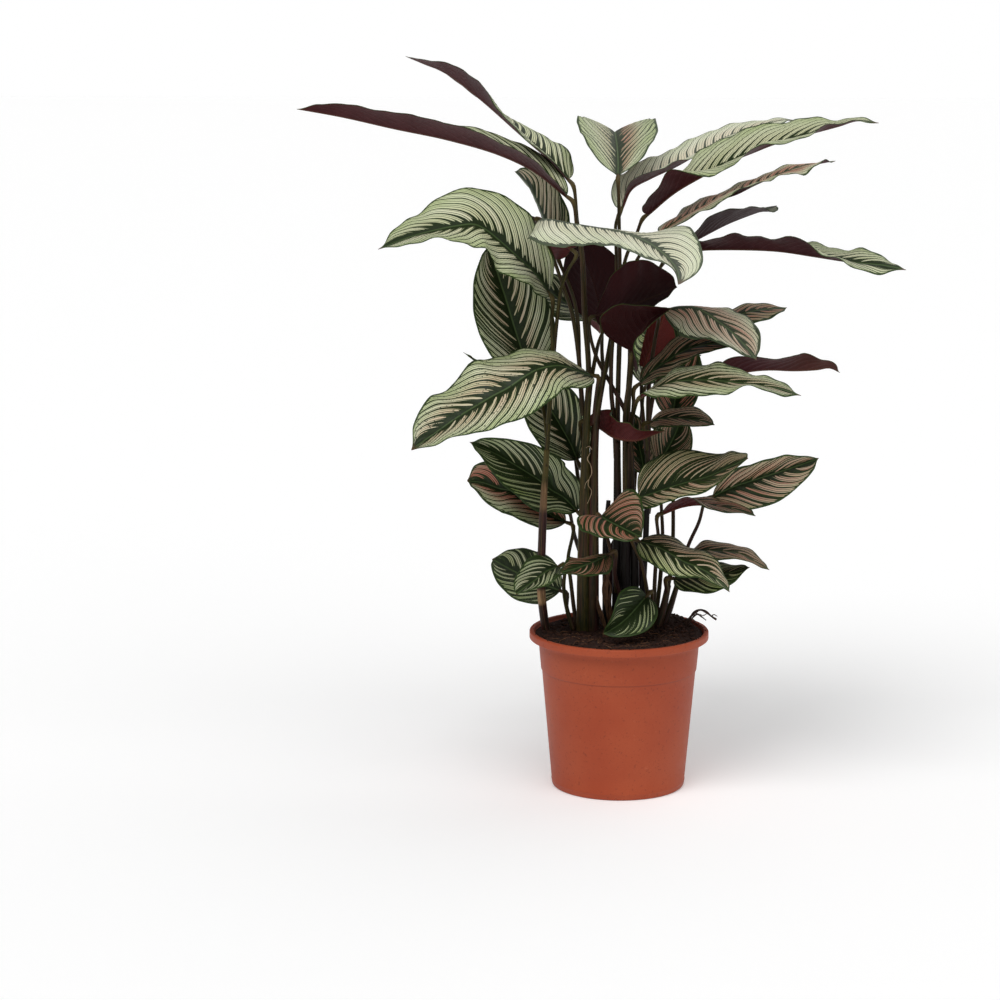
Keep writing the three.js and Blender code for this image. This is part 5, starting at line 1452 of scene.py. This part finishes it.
# The soil with its crumbs and fibres. tone holds how bright and how much like
# fibre each part of it is.
def add_soil():
    draw = random.Random(SOIL_SEED)
    edge = soil_radius_at(UNDER_LIP - 1.5)
    pieces = []

    def add(points, faces, bright, fibre=0):
        pieces.append((points, faces, (np.tile([bright, fibre, 0], (len(points), 1)),)))

    add(*soil_ground(edge), 0)
    corners, crumb_faces = crumb_shape()
    for _ in range(CRUMBS):
        x, y = soil_place(draw, edge - 1)
        size = SMALLEST_CRUMB + CRUMB_GROWTH * draw.random() ** 2.4
        stretch = [draw.uniform(0.7, 1.5), draw.uniform(0.7, 1.5), draw.uniform(0.5, 1.0)]
        jitter = np.array([draw.uniform(0.72, 1.2) for _ in corners])[:, None]
        z = SOIL_TOP + soil_relief(x, y) + draw.uniform(-0.4, 0.8)
        body = corners * jitter * np.array(stretch) * size + np.array([x, y, z])
        add(body, crumb_faces, draw.random() ** 1.5)
    for _ in range(LIP_CRUMBS):
        angle = draw.random() * 2 * math.pi
        radius = draw.uniform(LIP_INNER_RADIUS + 0.6, LIP_RADIUS - 2)
        size = draw.uniform(*LIP_CRUMB_SIZES)
        centre = (radius * math.cos(angle), radius * math.sin(angle), POT_HEIGHT + size * 0.5)
        jitter = np.array([draw.uniform(0.7, 1.2) for _ in corners])[:, None]
        add(corners * jitter * size + np.array(centre), crumb_faces, 0.2)
    for _ in range(FIBRES):
        add(*soil_fibre(draw, edge), 0, draw.uniform(0.35, 1.0))
    piece = add_joined("soil_bed", pieces, soil_skin(), ("tone",))
    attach(piece, "root")
    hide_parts("soil")


add_soil()


# A white floor that gives a little light of its own.
def add_floor():
    n = Nodes("floor_card")
    paper = n.noise(n.place(), 0.4, 3.0)
    n.set("Base Color", n.mix(paper, rgb(246, 246, 246), rgb(249, 249, 249)))
    n.set("Emission Color", WHITE)
    n.set("Emission Strength", FLOOR_GLOW)
    n.set("Roughness", 0.85)
    n.set("Specular IOR Level", 0.1)
    mesh = bpy.data.meshes.new("floor")
    reach = FLOOR_REACH_METRES
    corners = [(-reach, -reach, 0), (reach, -reach, 0), (reach, reach, 0), (-reach, reach, 0)]
    mesh.from_pydata(corners, [], [(0, 1, 2, 3)])
    mesh.materials.append(n.material)
    add_object("floor", mesh)


add_floor()


# Turn a lamp or camera towards a place.
def aim(thing, target):
    direction = Vector(target) - thing.location
    thing.rotation_euler = direction.to_track_quat("-Z", "Y").to_euler()


def add_sun(name, direction, strength, spread):
    data = bpy.data.lights.new(name, "SUN")
    data.energy = strength
    data.angle = math.radians(spread)
    light = add_object(name, data)
    light.location = direction
    aim(light, (0, 0, 0))


add_sun("key", (-0.9, -1.8, 2.9), 1.5, 35)
add_sun("front_fill", (1.4, -1.7, 2.2), 0.65, 50)
add_sun("back_fill", (1.5, 1.6, 2.4), 0.5, 60)

# An even white room: full white where it is seen, dimmer where it lights.
world = bpy.data.worlds.new("studio")
world.use_nodes = True
room = world.node_tree
wall = room.nodes["Background"]
wall.inputs["Color"].default_value = WHITE
wall.inputs["Strength"].default_value = ROOM_LIGHT
seen = room.nodes.new("ShaderNodeBackground")
seen.inputs["Color"].default_value = WHITE
seen.inputs["Strength"].default_value = ROOM_SEEN
path = room.nodes.new("ShaderNodeLightPath")
choice = room.nodes.new("ShaderNodeMixShader")
room.links.new(path.outputs["Is Camera Ray"], choice.inputs[0])
room.links.new(wall.outputs[0], choice.inputs[1])
room.links.new(seen.outputs[0], choice.inputs[2])
room.links.new(choice.outputs[0], room.nodes["World Output"].inputs["Surface"])
bpy.context.scene.world = world
bpy.context.scene.view_settings.view_transform = "Standard"

# Camera: at the viewpoint of the measures, above the upper leaves.
camera_data = bpy.data.cameras.new("camera")
camera_data.sensor_fit = "HORIZONTAL"
camera_data.sensor_width = SENSOR_WIDTH
camera_data.lens = LENS
camera = add_object("camera", camera_data)
camera.location = EYE * MM
aim(camera, SEEN_MIDDLE * MM)
bpy.context.scene.camera = camera

bpy.context.view_layer.update()
